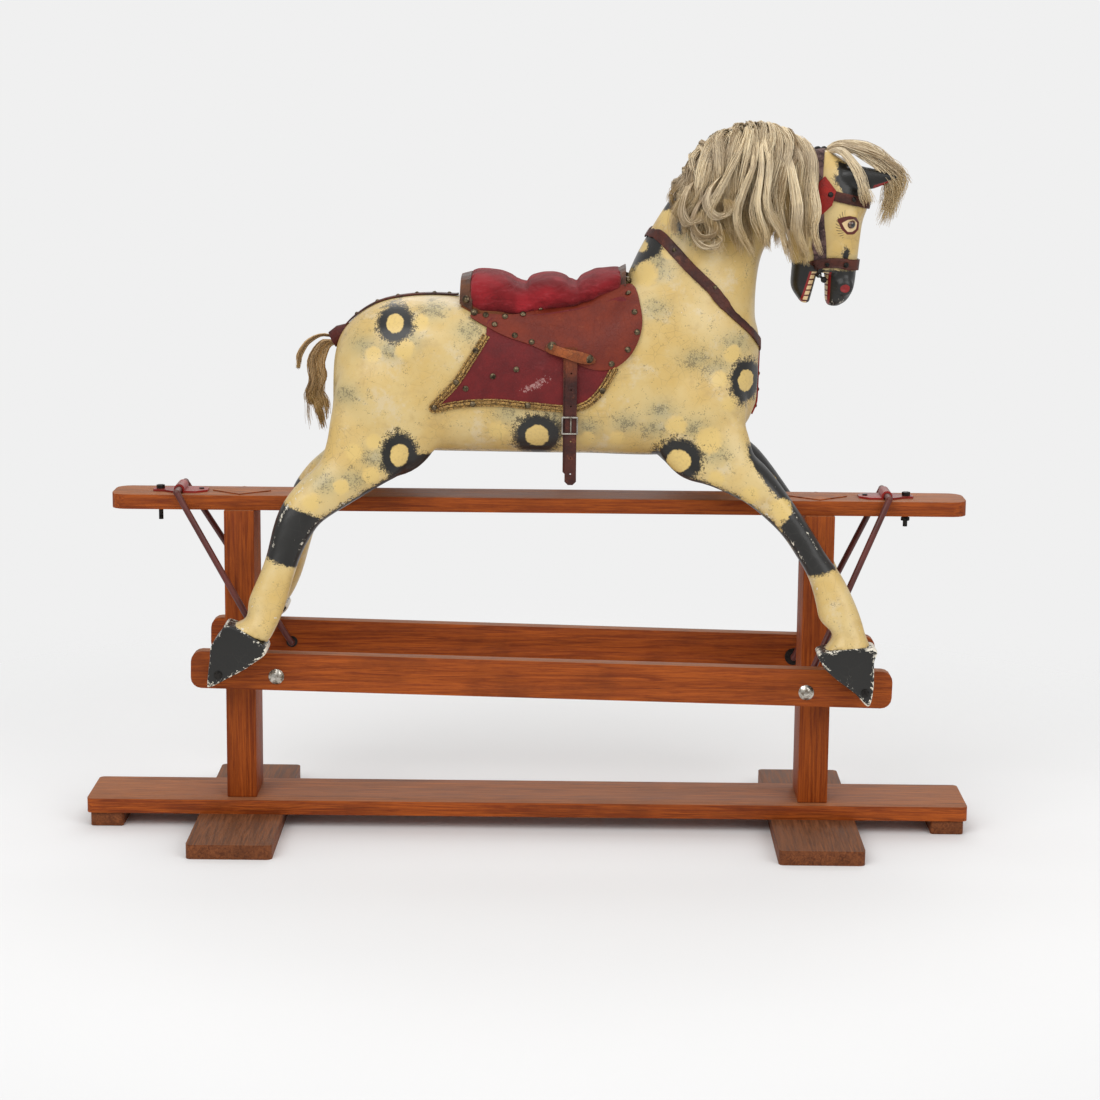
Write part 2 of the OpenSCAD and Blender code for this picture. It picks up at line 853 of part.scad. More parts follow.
module keeper_feet() {
    y = barrel_y(keeper_place[0], keeper_place[1]) + cloth_t + 0.4;
    for (side = [-1, 1])
        translate(at(keeper_place[0], -keeper_in - eps, keeper_place[1]))
            translate([side * (keeper_len - keeper_foot) / 2 - keeper_foot / 2, 0, -keeper_h / 2])
                cube([keeper_foot, keeper_in - y, keeper_h]);
}

module keeper(side) {
    r = keeper_h / 2;
    color("#9a5a2c")
        hung()
            mirror([0, side > 0 ? 1 : 0, 0]) {
                keeper_feet();
                translate(at(keeper_place[0], -keeper_in, keeper_place[1]))
                    rotate([90, 0, 0])
                        linear_extrude(leather_t) {
                            square([keeper_len - 2 * r, keeper_h], center = true);
                            translate([-keeper_len / 2 + r, 0]) circle(r);
                            translate([keeper_len / 2 - r, 0]) circle(r);
                        }
                for (s = [-1, 1])
                    translate(at(keeper_place[0], -keeper_in - leather_t, keeper_place[1]))
                        translate([s * (keeper_len - keeper_foot) / 2, eps, 0])
                            rotate([90, 0, 0]) cylinder(h = 2, r1 = 5.4, r2 = 4);
            }
}

// Doubled strap, folded over at the top. Drawn plumb, down from the middle of the keeper.
strap_width = 17;
strap_above = 10;
strap_long = 192;
strap_short = 178;
buckle_drop = 104;
buckle_w = 22;
buckle_h = 24;
wire_r = 1.3;
module at_keeper() {
    place = at(keeper_place[0], 0, keeper_place[1]) + [pivot_span / 2, 0, 0];
    turned = [place[0] * cos(tilt) - place[2] * sin(tilt), 0, place[0] * sin(tilt) + place[2] * cos(tilt)];
    translate([rear_pin[0], 0, rear_pin[1]] + turned)
        children();
}

module strap_layer(y, z0, z1, shift) {
    tip = 5;
    translate([shift, y, 0])
        rotate([90, 0, 0])
            linear_extrude(leather_t - 0.3)
                polygon([
                    [-strap_width / 2, z1], [strap_width / 2, z1], [strap_width / 2, z0 + tip],
                    [strap_width / 2 - tip, z0], [-strap_width / 2 + tip, z0], [-strap_width / 2, z0 + tip]
                ]);
}

module stirrup_strap(side) {
    color(dark_leather)
        at_keeper()
            mirror([0, side > 0 ? 1 : 0, 0])
                difference() {
                    union() {
                        strap_layer(-strap_in, -strap_short, strap_above, -1.5);
                        strap_layer(-strap_in - leather_t, -strap_long, strap_above, 1.5);
                        translate([-strap_width / 2 + 1.5, -strap_out + 0.3, strap_above - 3])
                            cube([strap_width - 3, strap_out - strap_in - 0.3, 3]);
                        translate([-strap_width / 2 + 3, -strap_out + 0.3, -strap_short + 40])
                            cube([strap_width - 6, strap_out - strap_in - 0.3, 30]);
                    }
                    for (z = [-28, -52, -76, -128, -152, -176])
                        translate([1.5, -strap_in + 1, z]) rotate([90, 0, 0]) cylinder(h = 9, r = 1.2);
                }
}

// Wire frame round both thicknesses of the strap, with its tongue across the front.
module buckle(side) {
    y0 = -strap_in + wire_r + 0.15;
    y1 = -strap_out - wire_r - 0.15;
    color(nickel)
        at_keeper()
            mirror([0, side > 0 ? 1 : 0, 0])
                translate([0, 0, -buckle_drop]) {
                    for (x = [-buckle_w / 2, buckle_w / 2])
                        rod([x, y1, -buckle_h / 2], [x, y1, buckle_h / 2], wire_r);
                    for (z = [-buckle_h / 2, buckle_h / 2])
                        rod([-buckle_w / 2, y1, z], [buckle_w / 2, y1, z], wire_r);
                    for (x = [-buckle_w / 2, buckle_w / 2], z = [-buckle_h / 2, buckle_h / 2])
                        translate([x, y1, z]) sphere(wire_r);
                    rod([1.5, y1, buckle_h / 2], [1.5, y1, -buckle_h / 2], wire_r * 0.8);
                }
}

// ---------------------------------------------------------------- harness and bridle

// Band drawn in the side view around whatever form lies there.
module band(outline, low, high) {
    difference() {
        intersection() {
            union() {
                barrel_form(high);
                neck_form(high);
            }
            side_slab(flat(outline), -250, 250);
        }
        barrel_form(low);
        neck_form(low);
    }
}

// Strip of the strap's width along a line of points of the drawn side view.
function strip(line, width) = let (n = len(line) - 1) [
    for (i = [0:n]) line[i] + normal(line, i, n) * width / 2,
    for (i = [n:-1:0]) line[i] - normal(line, i, n) * width / 2
];
function normal(line, i, n) = let (
    d = line[min(n, i + 1)] - line[max(0, i - 1)]
) [-d[1], d[0]] / norm(d);

breast_line = [[112, 704], [141, 676], [196, 624], [244, 584], [282, 543], [326, 500]];
module breast_strap() {
    color(dark_leather)
        hung() band(strip(breast_line, strap_w), 0, strap_t);
}

// Strap down the middle of the chest, from the breast strap to between the legs.
module chest_strap() {
    color(dark_leather)
        hung()
            difference() {
                intersection() {
                    union() {
                        barrel_form(strap_t);
                        neck_form(strap_t);
                    }
                    translate([250 * kx, -strap_w / 2, 384 * kz]) cube([120, strap_w, 110 * kz]);
                }
                barrel_form();
                neck_form();
                side_slab(flat(strip(breast_line, strap_w + 1)), -100, 100);
            }
}

module crupper_strap() {
    color(dark_leather)
        hung()
            difference() {
                intersection() {
                    barrel_form(strap_t);
                    translate([-330 * kx, -strap_w / 2, 480 * kz])
                        cube([190 * kx, strap_w, 200]);
                }
                barrel_form();
                block_form(flap_t);
                dock_form();
            }
}

// Nails along the crupper, the chest strap and the breast strap.
crupper_nails = [-292, -262, -232, -204, -178, -156];
module harness_nails() {
    color("#6d5c4a")
        hung() {
            for (x = crupper_nails)
                translate(at(x, 0, barrel_high(x)) + [0, 0, strap_t - 0.3]) top_nail();
            for (z = [408, 436, 464])
                translate([308 * kx + strap_t - 1.5, 0, z * kz]) rotate([0, 90, 0]) top_nail();
        }
}
module top_nail() {
    r = nail_d * 0.4;
    intersection() {
        cylinder(h = r, r = r);
        translate([0, 0, -r * 0.7]) sphere(r * 1.24);
    }
    translate([0, 0, -10]) cylinder(h = 10 + eps, r = 1);
}

// Bridle straps round the skull: noseband, browband and the crown with its cheek pieces.
nose_outline = [[330, 618], [470, 620], [470, 637], [330, 635]];
brow_outline = [[376, 744], [480, 716], [480, 699], [376, 728]];
crown_outline = [[360, 830], [386, 830], [386, 735], [388, 637], [370, 637], [364, 735]];
module skull_band(outline, high) {
    intersection() {
        skull_form(high);
        side_slab(flat(outline), -100, 100);
    }
}

module headstall() {
    color(dark_leather)
        hung()
            difference() {
                union() {
                    skull_band(nose_outline, strap_t);
                    skull_band(brow_outline, strap_t);
                    skull_band(crown_outline, strap_t);
                }
                head_form();
                neck_form();
            }
}

// Leather diamonds where the browband meets the cheek pieces, each with a stud.
rosette_place = [382, 728];
module rosettes() {
    diamond = [for (p = [[0, 27], [15, 4], [0, -24], [-15, 4]]) rosette_place + p];
    color(red_leather)
        hung() {
            difference() {
                skull_band(diamond, strap_t + 2.4);
                skull_form(strap_t);
                neck_form();
            }
            both_sides()
                translate(at(rosette_place[0], -skull_y - strap_t - 2, rosette_place[1]))
                    rotate([90, 0, 0]) top_nail();
        }
}
skull_y = 43.5 * ky;

// Bar of the bit across the mouth, with a round knob at each end.
bit_place = [398, 604];
module bit() {
    bit_half = 36 * ky + 6;
    color(nickel)
        hung() {
            cross_bar([bit_place[0] * kx, bit_place[1] * kz], -bit_half, bit_half, 2);
            both_sides()
                translate(at(bit_place[0], -bit_half, bit_place[1])) sphere(4.6);
        }
}

// ---------------------------------------------------------------- hair

mane_outline = [
    [188, 770], [208, 792], [236, 812], [289, 829], [338, 812], [366, 806], [372, 780],
    [362, 740], [356, 690], [352, 640], [330, 634], [300, 648], [270, 636], [240, 634],
    [212, 656], [196, 692], [180, 740]
];
mane_depth = 16;
module mane() {
    color(hair)
        hung()
            difference() {
                intersection() {
                    neck_form(mane_depth);
                    side_slab(flat(mane_outline), -100, 14);
                }
                neck_form(0.3);
                skull_form(strap_t + 0.5);
                barrel_form();
            }
}

// Hair stations: rear, front and half width, as on the neck.
forelock_sections = [
    [388, 789, 392, 803, 14], [414, 782, 420, 806, 22], [446, 764, 456, 802, 28],
    [466, 748, 484, 786, 30], [470, 724, 494, 742, 26], [470, 700, 486, 706, 16]
];
module forelock() {
    color(hair)
        hung()
            difference() {
                loft(stations(forelock_sections, 0, 2.2, 16));
                skull_form(strap_t + 0.3);
                neck_form(0.3);
                right_ear_form(0.3);
                left_side() right_ear_form(0.3);
            }
}

dock_sections = [[-300, 516, -306, 486, 15], [-322, 510, -318, 482, 14], [-334, 500, -322, 478, 12]];
module dock_form() {
    loft(stations(dock_sections, 0, 2.2, 16));
}

module tail_dock() {
    color(red_leather)
        hung()
            difference() {
                dock_form();
                barrel_form();
            }
}

tail_sections = [
    [-326, 500, -318, 482, 9], [-334, 500, -322, 478, 9], [-362, 486, -340, 468, 12],
    [-374, 458, -346, 448, 14], [-368, 424, -338, 424, 15], [-358, 394, -330, 396, 13],
    [-346, 366, -328, 368, 8], [-340, 352, -332, 353, 4]
];
module tail() {
    color(hair)
        hung()
            difference() {
                loft(stations(tail_sections, 0, 2.2, 16));
                barrel_form();
                dock_form();
                both_sides() leg_form(hind_leg_sections, hind_top_y);
            }
}

base_board();
cross_foot(-1);  // rear_cross_foot
cross_foot(1);  // front_cross_foot
end_blocks();
foot_screws();
post(-1);  // rear_post
post(1);  // front_post
top_rail();
diamond_plate(-1);  // rear_diamond_plate
diamond_plate(1);  // front_diamond_plate
hanger_bracket(rear_hanger, -1);  // rear_hanger_bracket
hanger_bracket(front_hanger, 1);  // front_hanger_bracket
hanger_bolts();
hanger_nuts();
hanger_screws();
swing_iron(rear_hanger, rear_pin);  // rear_swing_iron
swing_iron(front_hanger, front_pin);  // front_swing_iron
pivot_washers(rear_pin, rear_washer_r);  // rear_pivot_washers
pivot_washers(front_pin, front_washer_r);  // front_pivot_washers
rail(-1);  // right_rail
rail(1);  // left_rail
pivot_caps();
hoof_bolts();
hoof_nuts();
barrel();
neck();
head();
ear(-1);  // right_ear
ear(1);  // left_ear
eyes();
fore_leg(-1);  // right_fore_leg
fore_leg(1);  // left_fore_leg
hind_leg(-1);  // right_hind_leg
hind_leg(1);  // left_hind_leg
saddle_block();
seat();
cantle_band();
pommel_band();
saddle_cloth(-1);  // right_saddle_cloth
saddle_cloth(1);  // left_saddle_cloth
saddle_flap(-1);  // right_saddle_flap
saddle_flap(1);  // left_saddle_flap
saddle_nails();
keeper(-1);  // right_stirrup_loop
keeper(1);  // left_stirrup_loop
stirrup_strap(-1);  // right_stirrup_strap
stirrup_strap(1);  // left_stirrup_strap
buckle(-1);  // right_buckle
buckle(1);  // left_buckle
breast_strap();
chest_strap();
crupper_strap();
harness_nails();
headstall();
rosettes();
bit();
mane();
forelock();
tail();
tail_dock();
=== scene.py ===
"""Looks of a painted rocking horse on a swing-iron stand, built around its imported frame."""

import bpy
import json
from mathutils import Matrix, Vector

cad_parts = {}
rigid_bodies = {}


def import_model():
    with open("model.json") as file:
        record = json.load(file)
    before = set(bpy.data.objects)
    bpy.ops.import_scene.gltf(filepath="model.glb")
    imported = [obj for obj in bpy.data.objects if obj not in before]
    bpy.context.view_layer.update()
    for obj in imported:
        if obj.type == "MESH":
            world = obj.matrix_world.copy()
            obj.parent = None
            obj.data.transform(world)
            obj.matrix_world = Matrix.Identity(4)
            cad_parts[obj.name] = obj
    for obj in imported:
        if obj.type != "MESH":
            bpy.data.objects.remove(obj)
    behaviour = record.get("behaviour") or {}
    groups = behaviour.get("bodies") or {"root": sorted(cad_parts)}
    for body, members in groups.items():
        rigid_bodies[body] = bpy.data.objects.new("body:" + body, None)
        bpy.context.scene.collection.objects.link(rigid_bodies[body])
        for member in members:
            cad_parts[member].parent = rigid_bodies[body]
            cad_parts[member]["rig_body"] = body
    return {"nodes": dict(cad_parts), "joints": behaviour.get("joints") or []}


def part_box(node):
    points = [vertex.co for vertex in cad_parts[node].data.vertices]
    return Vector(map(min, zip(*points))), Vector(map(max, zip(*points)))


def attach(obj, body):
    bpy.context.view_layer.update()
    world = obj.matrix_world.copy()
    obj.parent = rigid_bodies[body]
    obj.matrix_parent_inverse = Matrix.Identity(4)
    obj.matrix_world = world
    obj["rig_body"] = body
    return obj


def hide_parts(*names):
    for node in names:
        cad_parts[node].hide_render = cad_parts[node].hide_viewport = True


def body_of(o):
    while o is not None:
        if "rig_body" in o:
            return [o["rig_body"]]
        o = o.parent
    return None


bl_info = {
    "name": "Painted rocking horse",
    "version": (1, 0, 0),
    "blender": (4, 5, 0),
    "location": "3D View > Sidebar > Rocking horse",
    "description": "Makes the carved horse, its tack, its hair and its timber stand",
    "category": "Add Mesh",
}

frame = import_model()

import json
import math

import bmesh
import bpy
import numpy as np
from bpy.props import FloatProperty, FloatVectorProperty, IntProperty, PointerProperty
from mathutils import Matrix, Vector
from mathutils.bvhtree import BVHTree

MM = 0.001
PROPERTY_NAME = "rocking_horse"


# ------------------------------------------------------------------ where the horse hangs

def joint_place(name):
    """Place of a joint's axis in the row, in metres."""
    for joint in frame["joints"]:
        if joint["name"] == name:
            return Vector(joint["pos_m"])
    raise RuntimeError(f"the frame has no joint {name}")


REAR_PIN = joint_place("rail_pivot")
CAPS_LOW, CAPS_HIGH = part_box("pivot_caps")
CAPS_MIDDLE = (CAPS_LOW + CAPS_HIGH) / 2
SLOPE = math.atan2(CAPS_MIDDLE.z - REAR_PIN.z, CAPS_MIDDLE.x - REAR_PIN.x)
HORSE_ORIGIN = np.array([CAPS_MIDDLE.x, 0.0, CAPS_MIDDLE.z])
HORSE_TURN = np.array([
    [math.cos(SLOPE), 0, math.sin(SLOPE)],
    [0, 1, 0],
    [-math.sin(SLOPE), 0, math.cos(SLOPE)],
])


def to_row(points):
    """Points in the horse's own millimetres, x forward and z up from its pivots, put in the row in metres."""
    return np.asarray(points, float) @ HORSE_TURN * MM + HORSE_ORIGIN


def to_horse(points):
    """The opposite of to_row."""
    return (np.asarray(points, float) - HORSE_ORIGIN) @ HORSE_TURN.T / MM


# ------------------------------------------------------------------ meshes from arrays

def make_object(name, points, faces, smooth=True):
    """An object at the origin from an array of points in metres and arrays of face corners."""
    mesh = bpy.data.meshes.new(name)
    points = np.asarray(points, np.float32).reshape(-1, 3)
    faces = [np.asarray(f, np.int32) for f in faces if len(f)]
    corners = np.concatenate([f.ravel() for f in faces])
    totals = np.concatenate([np.full(len(f), f.shape[1], np.int32) for f in faces])
    starts = np.concatenate([[0], np.cumsum(totals)[:-1]]).astype(np.int32)
    mesh.vertices.add(len(points))
    mesh.vertices.foreach_set("co", points.ravel())
    mesh.loops.add(len(corners))
    mesh.loops.foreach_set("vertex_index", corners)
    mesh.polygons.add(len(totals))
    mesh.polygons.foreach_set("loop_start", starts)
    mesh.polygons.foreach_set("loop_total", totals)
    mesh.polygons.foreach_set("use_smooth", np.full(len(totals), smooth))
    mesh.update(calc_edges=True)
    mesh.validate()
    obj = bpy.data.objects.new(name, mesh)
    bpy.context.scene.collection.objects.link(obj)
    return obj


def places_of(mesh):
    """Every vertex of a mesh as an array of points."""
    points = np.empty(len(mesh.vertices) * 3, np.float32)
    mesh.vertices.foreach_get("co", points)
    return points.reshape(-1, 3).astype(float)


def set_places(mesh, points):
    """Moves every vertex of a mesh to its row of an array."""
    mesh.vertices.foreach_set("co", np.asarray(points, np.float32).ravel())
    mesh.update()


def normals_of(mesh):
    """Every vertex normal of a mesh as an array."""
    values = np.empty(len(mesh.vertices) * 3, np.float32)
    mesh.vertices.foreach_get("normal", values)
    return values.reshape(-1, 3).astype(float)


def mark(obj, name, values):
    """Stores one number per vertex, for the materials to read."""
    layer = obj.data.attributes.new(name, "FLOAT", "POINT")
    layer.data.foreach_set("value", np.asarray(values, np.float32).ravel())


def grid_faces(rows, columns, closed=False):
    """Quads of a grid of rows by columns, its columns joined round when closed."""
    last = columns if closed else columns - 1
    row, column = np.meshgrid(np.arange(rows - 1), np.arange(last), indexing="ij")
    right = (column + 1) % columns
    return np.stack([
        row * columns + column, row * columns + right,
        (row + 1) * columns + right, (row + 1) * columns + column,
    ], -1).reshape(-1, 4)


def closed_loft(rings):
    """Rings of points carried one after the other, shape (rows, columns, 3), with a fan at each end.

    A side is the straight quad between a ring and the next, and an end is a fan about its middle."""
    rows, columns, _ = rings.shape
    points = np.concatenate([rings.reshape(-1, 3), rings[:1].mean(1), rings[-1:].mean(1)])
    turn = np.arange(columns)
    after = (turn + 1) % columns
    first = np.stack([np.full(columns, rows * columns), after, turn], -1)
    base = (rows - 1) * columns
    last = np.stack([np.full(columns, rows * columns + 1), base + turn, base + after], -1)
    return points, [grid_faces(rows, columns, True), first, last]


def oval(middle, up, side, power, count):
    """Superellipse: middle + up * |cos|^(2/power) + side * |sin|^(2/power), signs kept, for each row."""
    angle = np.linspace(0, 2 * np.pi, count, endpoint=False)
    c, s = np.cos(angle), np.sin(angle)
    c = np.sign(c) * np.abs(c) ** (2 / power)
    s = np.sign(s) * np.abs(s) ** (2 / power)
    return middle[:, None, :] + up[:, None, :] * c[None, :, None] + side[:, None, :] * s[None, :, None]


def smooth_path(points, count, closed=False):
    """Catmull-Rom curve through points, shape (..., n, 3), read at evenly spread places."""
    points = np.asarray(points, float)
    n = points.shape[-2]
    if closed:
        padded = np.concatenate([points[..., -1:, :], points, points[..., :2, :]], -2)
        place = np.linspace(0, n, count, endpoint=False)
        step = np.minimum(place.astype(int), n - 1)
    else:
        start = 2 * points[..., :1, :] - points[..., 1:2, :]
        end = 2 * points[..., -1:, :] - points[..., -2:-1, :]
        padded = np.concatenate([start, points, end], -2)
        place = np.linspace(0, n - 1, count)
        step = np.minimum(place.astype(int), n - 2)
    t = (place - step)[:, None]
    a, b, c, d = (padded[..., step + k, :] for k in range(4))
    return 0.5 * (2 * b + (c - a) * t + (2 * a - 5 * b + 4 * c - d) * t ** 2
                  + (3 * b - a - 3 * c + d) * t ** 3)


def tubes(paths, radii, sides, closed=False):
    """Round rods along many paths at once, shape (s, p, 3), with radii of shape (s, p) or (1, p).

    Each ring lies square to its path: path + radius * (across * cos + over * sin)."""
    along = np.gradient(paths, axis=1)
    if closed:
        along[:, 0] = along[:, -1] = (paths[:, 1] - paths[:, -2]) / 2
    along /= np.linalg.norm(along, axis=-1, keepdims=True) + 1e-12
    steady = np.where(np.abs(along[..., 1:2]) < 0.9, [[[0.0, 1.0, 0.0]]], [[[1.0, 0.0, 0.0]]])
    across = np.cross(along, steady)
    across /= np.linalg.norm(across, axis=-1, keepdims=True) + 1e-12
    over = np.cross(along, across)
    angle = np.linspace(0, 2 * np.pi, sides, endpoint=False)
    rings = (paths[:, :, None] + radii[:, :, None, None] * (
        across[:, :, None] * np.cos(angle)[None, None, :, None]
        + over[:, :, None] * np.sin(angle)[None, None, :, None]))
    count, length = paths.shape[:2]
    points = rings.reshape(-1, 3)
    shift = (np.arange(count) * length * sides)[:, None, None]
    walls = grid_faces(length, sides, True)[None] + shift
    first = np.arange(sides)[::-1][None, None] + shift
    last = (np.arange(sides) + (length - 1) * sides)[None, None] + shift
    return points, [walls.reshape(-1, 4), first.reshape(-1, sides), last.reshape(-1, sides)]


def finished(obj):
    """Applies every modifier of an object to its mesh."""
    graph = bpy.context.evaluated_depsgraph_get()
    graph.update()
    mesh = bpy.data.meshes.new_from_object(obj.evaluated_get(graph), depsgraph=graph)
    obj.modifiers.clear()
    old = obj.data
    obj.data = mesh
    mesh.name = obj.name
    bpy.data.meshes.remove(old)
    return obj


def joined(name, shapes, smooth=True):
    """One object from several (points, faces) shapes in metres."""
    points, faces, start = [], [], 0
    for shape_points, shape_faces in shapes:
        points.append(np.asarray(shape_points, float).reshape(-1, 3))
        faces += [np.asarray(f) + start for f in shape_faces if len(f)]
        start += len(points[-1])
    return make_object(name, np.concatenate(points), faces, smooth)


def blended(obj, voxel, rounds):
    """Melts the overlapping closed shapes of an object into one skin, then relaxes it."""
    melt = obj.modifiers.new("melt", "REMESH")
    melt.mode = "VOXEL"
    melt.voxel_size = voxel
    melt.use_smooth_shade = True
    relax = obj.modifiers.new("relax", "SMOOTH")
    relax.factor = 0.5
    relax.iterations = rounds
    return finished(obj)


def ridden(obj, body, slot, material, *nodes):
    """Gives a finished piece its body, its finish and the frame nodes it stands for."""
    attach(obj, body)
    if nodes:
        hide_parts(*nodes)
    if material is not None:
        obj.data.materials.clear()
        obj.data.materials.append(material)
    return obj


# ------------------------------------------------------------------ carved forms, in the horse's millimetres

# Place along the horse, underside, top, half width.
BARREL = np.array([
    [-322, 392, 470, 50], [-314, 366, 500, 74], [-292, 348, 526, 94], [-255, 337, 549, 107],
    [-200, 331, 560, 115], [-135, 331, 560, 118], [-65, 332, 550, 118], [5, 333, 545, 118],
    [70, 334, 560, 116], [120, 333, 592, 112], [170, 334, 612, 107], [220, 342, 606, 99],
    [262, 356, 588, 86], [292, 380, 562, 66], [308, 415, 520, 36],
], float)
# Throat point, crest point, half width.
NECK = np.array([
    [288, 440, 96, 560, 92], [304, 500, 118, 620, 84], [301, 556, 142, 668, 74],
    [302, 600, 166, 708, 65], [308, 636, 195, 745, 58], [322, 664, 232, 780, 53],
    [340, 692, 284, 802, 49], [356, 712, 330, 803, 46], [374, 728, 364, 796, 43],
], float)
SKULL = np.array([
    [372, 788, 398, 793, 30], [354, 764, 436, 771, 42], [346, 736, 458, 742, 48],
    [344, 706, 462, 715, 49], [344, 676, 455, 690, 47], [347, 650, 452, 660, 41],
    [352, 628, 450, 630, 35], [355, 613, 449, 613, 32],
], float)
UPPER_JAW = np.array([
    [402, 622, 449, 622, 31], [403, 600, 448, 602, 30], [404, 584, 445, 586, 29],
    [405, 571, 436, 571, 25], [409, 563, 424, 563, 17],
], float)
LOWER_JAW = np.array([
    [354, 625, 394, 625, 28], [353, 610, 391, 611, 28], [354, 588, 386, 588, 25],
    [369, 566, 381, 566, 15],
], float)
# Rear point, front point, share of the way out to the hoof, half width.
HIND_LEG = np.array([
    [-316, 420, -186, 392, 0, 30], [-322, 385, -192, 348, 0.04, 34], [-328, 343, -210, 309, 0.1, 35],
    [-340, 314, -243, 288, 0.18, 34], [-368, 286, -291, 258, 0.28, 32],
    [-390, 255, -326, 235, 0.37, 30], [-401, 225, -341, 218, 0.45, 28],
    [-410, 183, -357, 188, 0.55, 26], [-419, 155, -367, 158, 0.64, 25],
    [-434, 118, -377, 120, 0.76, 24], [-437, 90, -387, 90, 0.86, 25], [-462, 84, -402, 58, 1, 26],
], float)
FORE_LEG = np.array([
    [150, 400, 278, 420, 0, 28], [160, 350, 296, 372, 0.04, 33], [195, 312, 303, 348, 0.1, 34],
    [240, 300, 320, 333, 0.18, 33], [292, 278, 341, 309, 0.28, 31], [327, 252, 366, 276, 0.36, 29],
    [350, 230, 390, 243, 0.44, 28], [369, 204, 414, 206, 0.52, 27], [388, 173, 436, 179, 0.61, 26],
    [400, 137, 454, 147, 0.73, 25], [406, 113, 467, 117, 0.82, 25], [426, 93, 475, 92, 0.9, 25],
    [411, 70, 483, 78, 1, 26],
], float)
HIND_HOOF = [(-457, 86), (-472, 72), (-484, 54), (-486, 33), (-489, 0), (-485, -7), (-457, 8), (-425, 28),
             (-403, 54)]
FORE_HOOF = [(409, 72), (409, 55), (426, 37), (460, 12), (480, -6), (486, 20), (485, 58), (483, 80)]
HOOF_IN, HOOF_OUT = 130, 182
HOOF_MIDDLE = (HOOF_IN + HOOF_OUT) / 2
HIND_ROOT, FORE_ROOT = 80, 74
# Ear stations: rear point, front point, how far out, half width.
EAR = np.array([
    [404, 764, 424, 738, 30, 13], [420, 768, 446, 736, 34, 13], [440, 770, 462, 738, 38, 10],
    [462, 767, 478, 744, 41, 7], [484, 763, 492, 752, 44, 4], [498, 760, 501, 756, 45, 2],
], float)
# Place along the horse, top, half width.
BLOCK = np.array([
    [-134, 590, 72], [-122, 594, 80], [-104, 572, 88], [-60, 560, 94], [0, 560, 93],
    [52, 574, 86], [86, 600, 74], [104, 612, 64],
], float)
BLOCK_LOW = 480


def upright_rings(x, low, high, half, power, sides, inset=0.0):
    """Rings across the horse at each x, from a lowest to a highest height and a half width to each side."""
    zero = np.zeros(len(x))
    middle = np.stack([x, zero, (high + low) / 2], -1)
    up = np.stack([zero, zero, (high - low) / 2 - inset], -1)
    side = np.stack([zero, half, zero], -1)
    return oval(middle, up, side, power, sides)


def barrel_rings():
    """The barrel's rings, read along a smooth curve through its sections."""
    x, low, high, half = smooth_path(BARREL, 40).T
    return upright_rings(x, low, high, half, 3, 48)


def station_rings(table, power, rows, sides, out=None):
    """Rings across the lines that join each rear point to its front point in the side view."""
    s = smooth_path(table, rows)
    zero = np.zeros(rows)
    y = zero if out is None else out(s)
    rear = np.stack([s[:, 0], zero, s[:, 1]], -1)
    front = np.stack([s[:, 2], zero, s[:, 3]], -1)
    middle = (rear + front) / 2
    middle[:, 1] = y
    side = np.stack([zero, s[:, -1], zero], -1)
    return oval(middle, (front - rear) / 2, side, power, sides)


def leg_rings(table, root, side):
    """A leg's rings, splayed from its root to the middle of its hoof."""
    return station_rings(table, 2.8, 44, 24, lambda s: side * (root + (HOOF_MIDDLE - root) * s[:, 4]))


def ear_rings(side):
    """An ear's rings, each as far out as its station says."""
    return station_rings(EAR, 2.2, 20, 20, lambda s: side * s[:, 4])


def ball(middle, radii, rows=24, sides=32):
    """Ellipsoid from pole to pole, closed by its end fans."""
    lift = np.linspace(0.04, np.pi - 0.04, rows)
    zero = np.zeros(rows)
    centre = np.asarray(middle, float) + np.stack([zero, zero, -np.cos(lift) * radii[2]], -1)
    x = np.stack([np.sin(lift) * radii[0], zero, zero], -1)
    y = np.stack([zero, np.sin(lift) * radii[1], zero], -1)
    return oval(centre, x, y, 2, sides)


def carved(rings):
    """A closed shape in the row from rings in the horse's millimetres, turned to face outwards."""
    points, faces = closed_loft(rings)
    a, b, c = (points[faces[0][:, k]] for k in (0, 1, 2))
    middle = points.mean(0)
    if np.einsum("ij,ij->i", np.cross(b - a, c - a), a - middle).sum() < 0:
        faces = [f[:, ::-1] for f in faces]
    return to_row(points), faces


def body_shapes():
    """Barrel, neck, four legs and the swellings of chest, shoulder and haunch."""
    shapes = [carved(barrel_rings()), carved(station_rings(NECK, 2.3, 40, 40))]
    for side in (-1, 1):
        shapes.append(carved(leg_rings(HIND_LEG, HIND_ROOT, side)))
        shapes.append(carved(leg_rings(FORE_LEG, FORE_ROOT, side)))
        shapes.append(carved(ball((-236, side * 78, 400), (84, 44, 104))))
        shapes.append(carved(ball((214, side * 66, 408), (78, 46, 92))))
    return shapes


def head_shapes():
    """Skull, two jaws, and the swellings of brow, cheek and nostril."""
    shapes = [carved(station_rings(SKULL, 2.4, 30, 36)), carved(station_rings(UPPER_JAW, 2.4, 20, 32)),
              carved(station_rings(LOWER_JAW, 2.4, 20, 32))]
    for side in (-1, 1):
        shapes.append(carved(ball((424, side * 39, 700), (22, 9, 10))))
        shapes.append(carved(ball((372, side * 38, 690), (26, 13, 44))))
        shapes.append(carved(ball((430, side * 26, 594), (14, 9, 15))))
    return shapes


def distance_to_line(points, line):
    """Least distance in the side view from each point to a chain of straight pieces."""
    line = np.asarray(line, float)
    best = np.full(len(points), 1e9)
    for a, b in zip(line[:-1], line[1:]):
        step = b - a
        t = np.clip(((points - a) @ step) / (step @ step), 0, 1)
        best = np.minimum(best, np.linalg.norm(points - a - t[:, None] * step, axis=1))
    return best


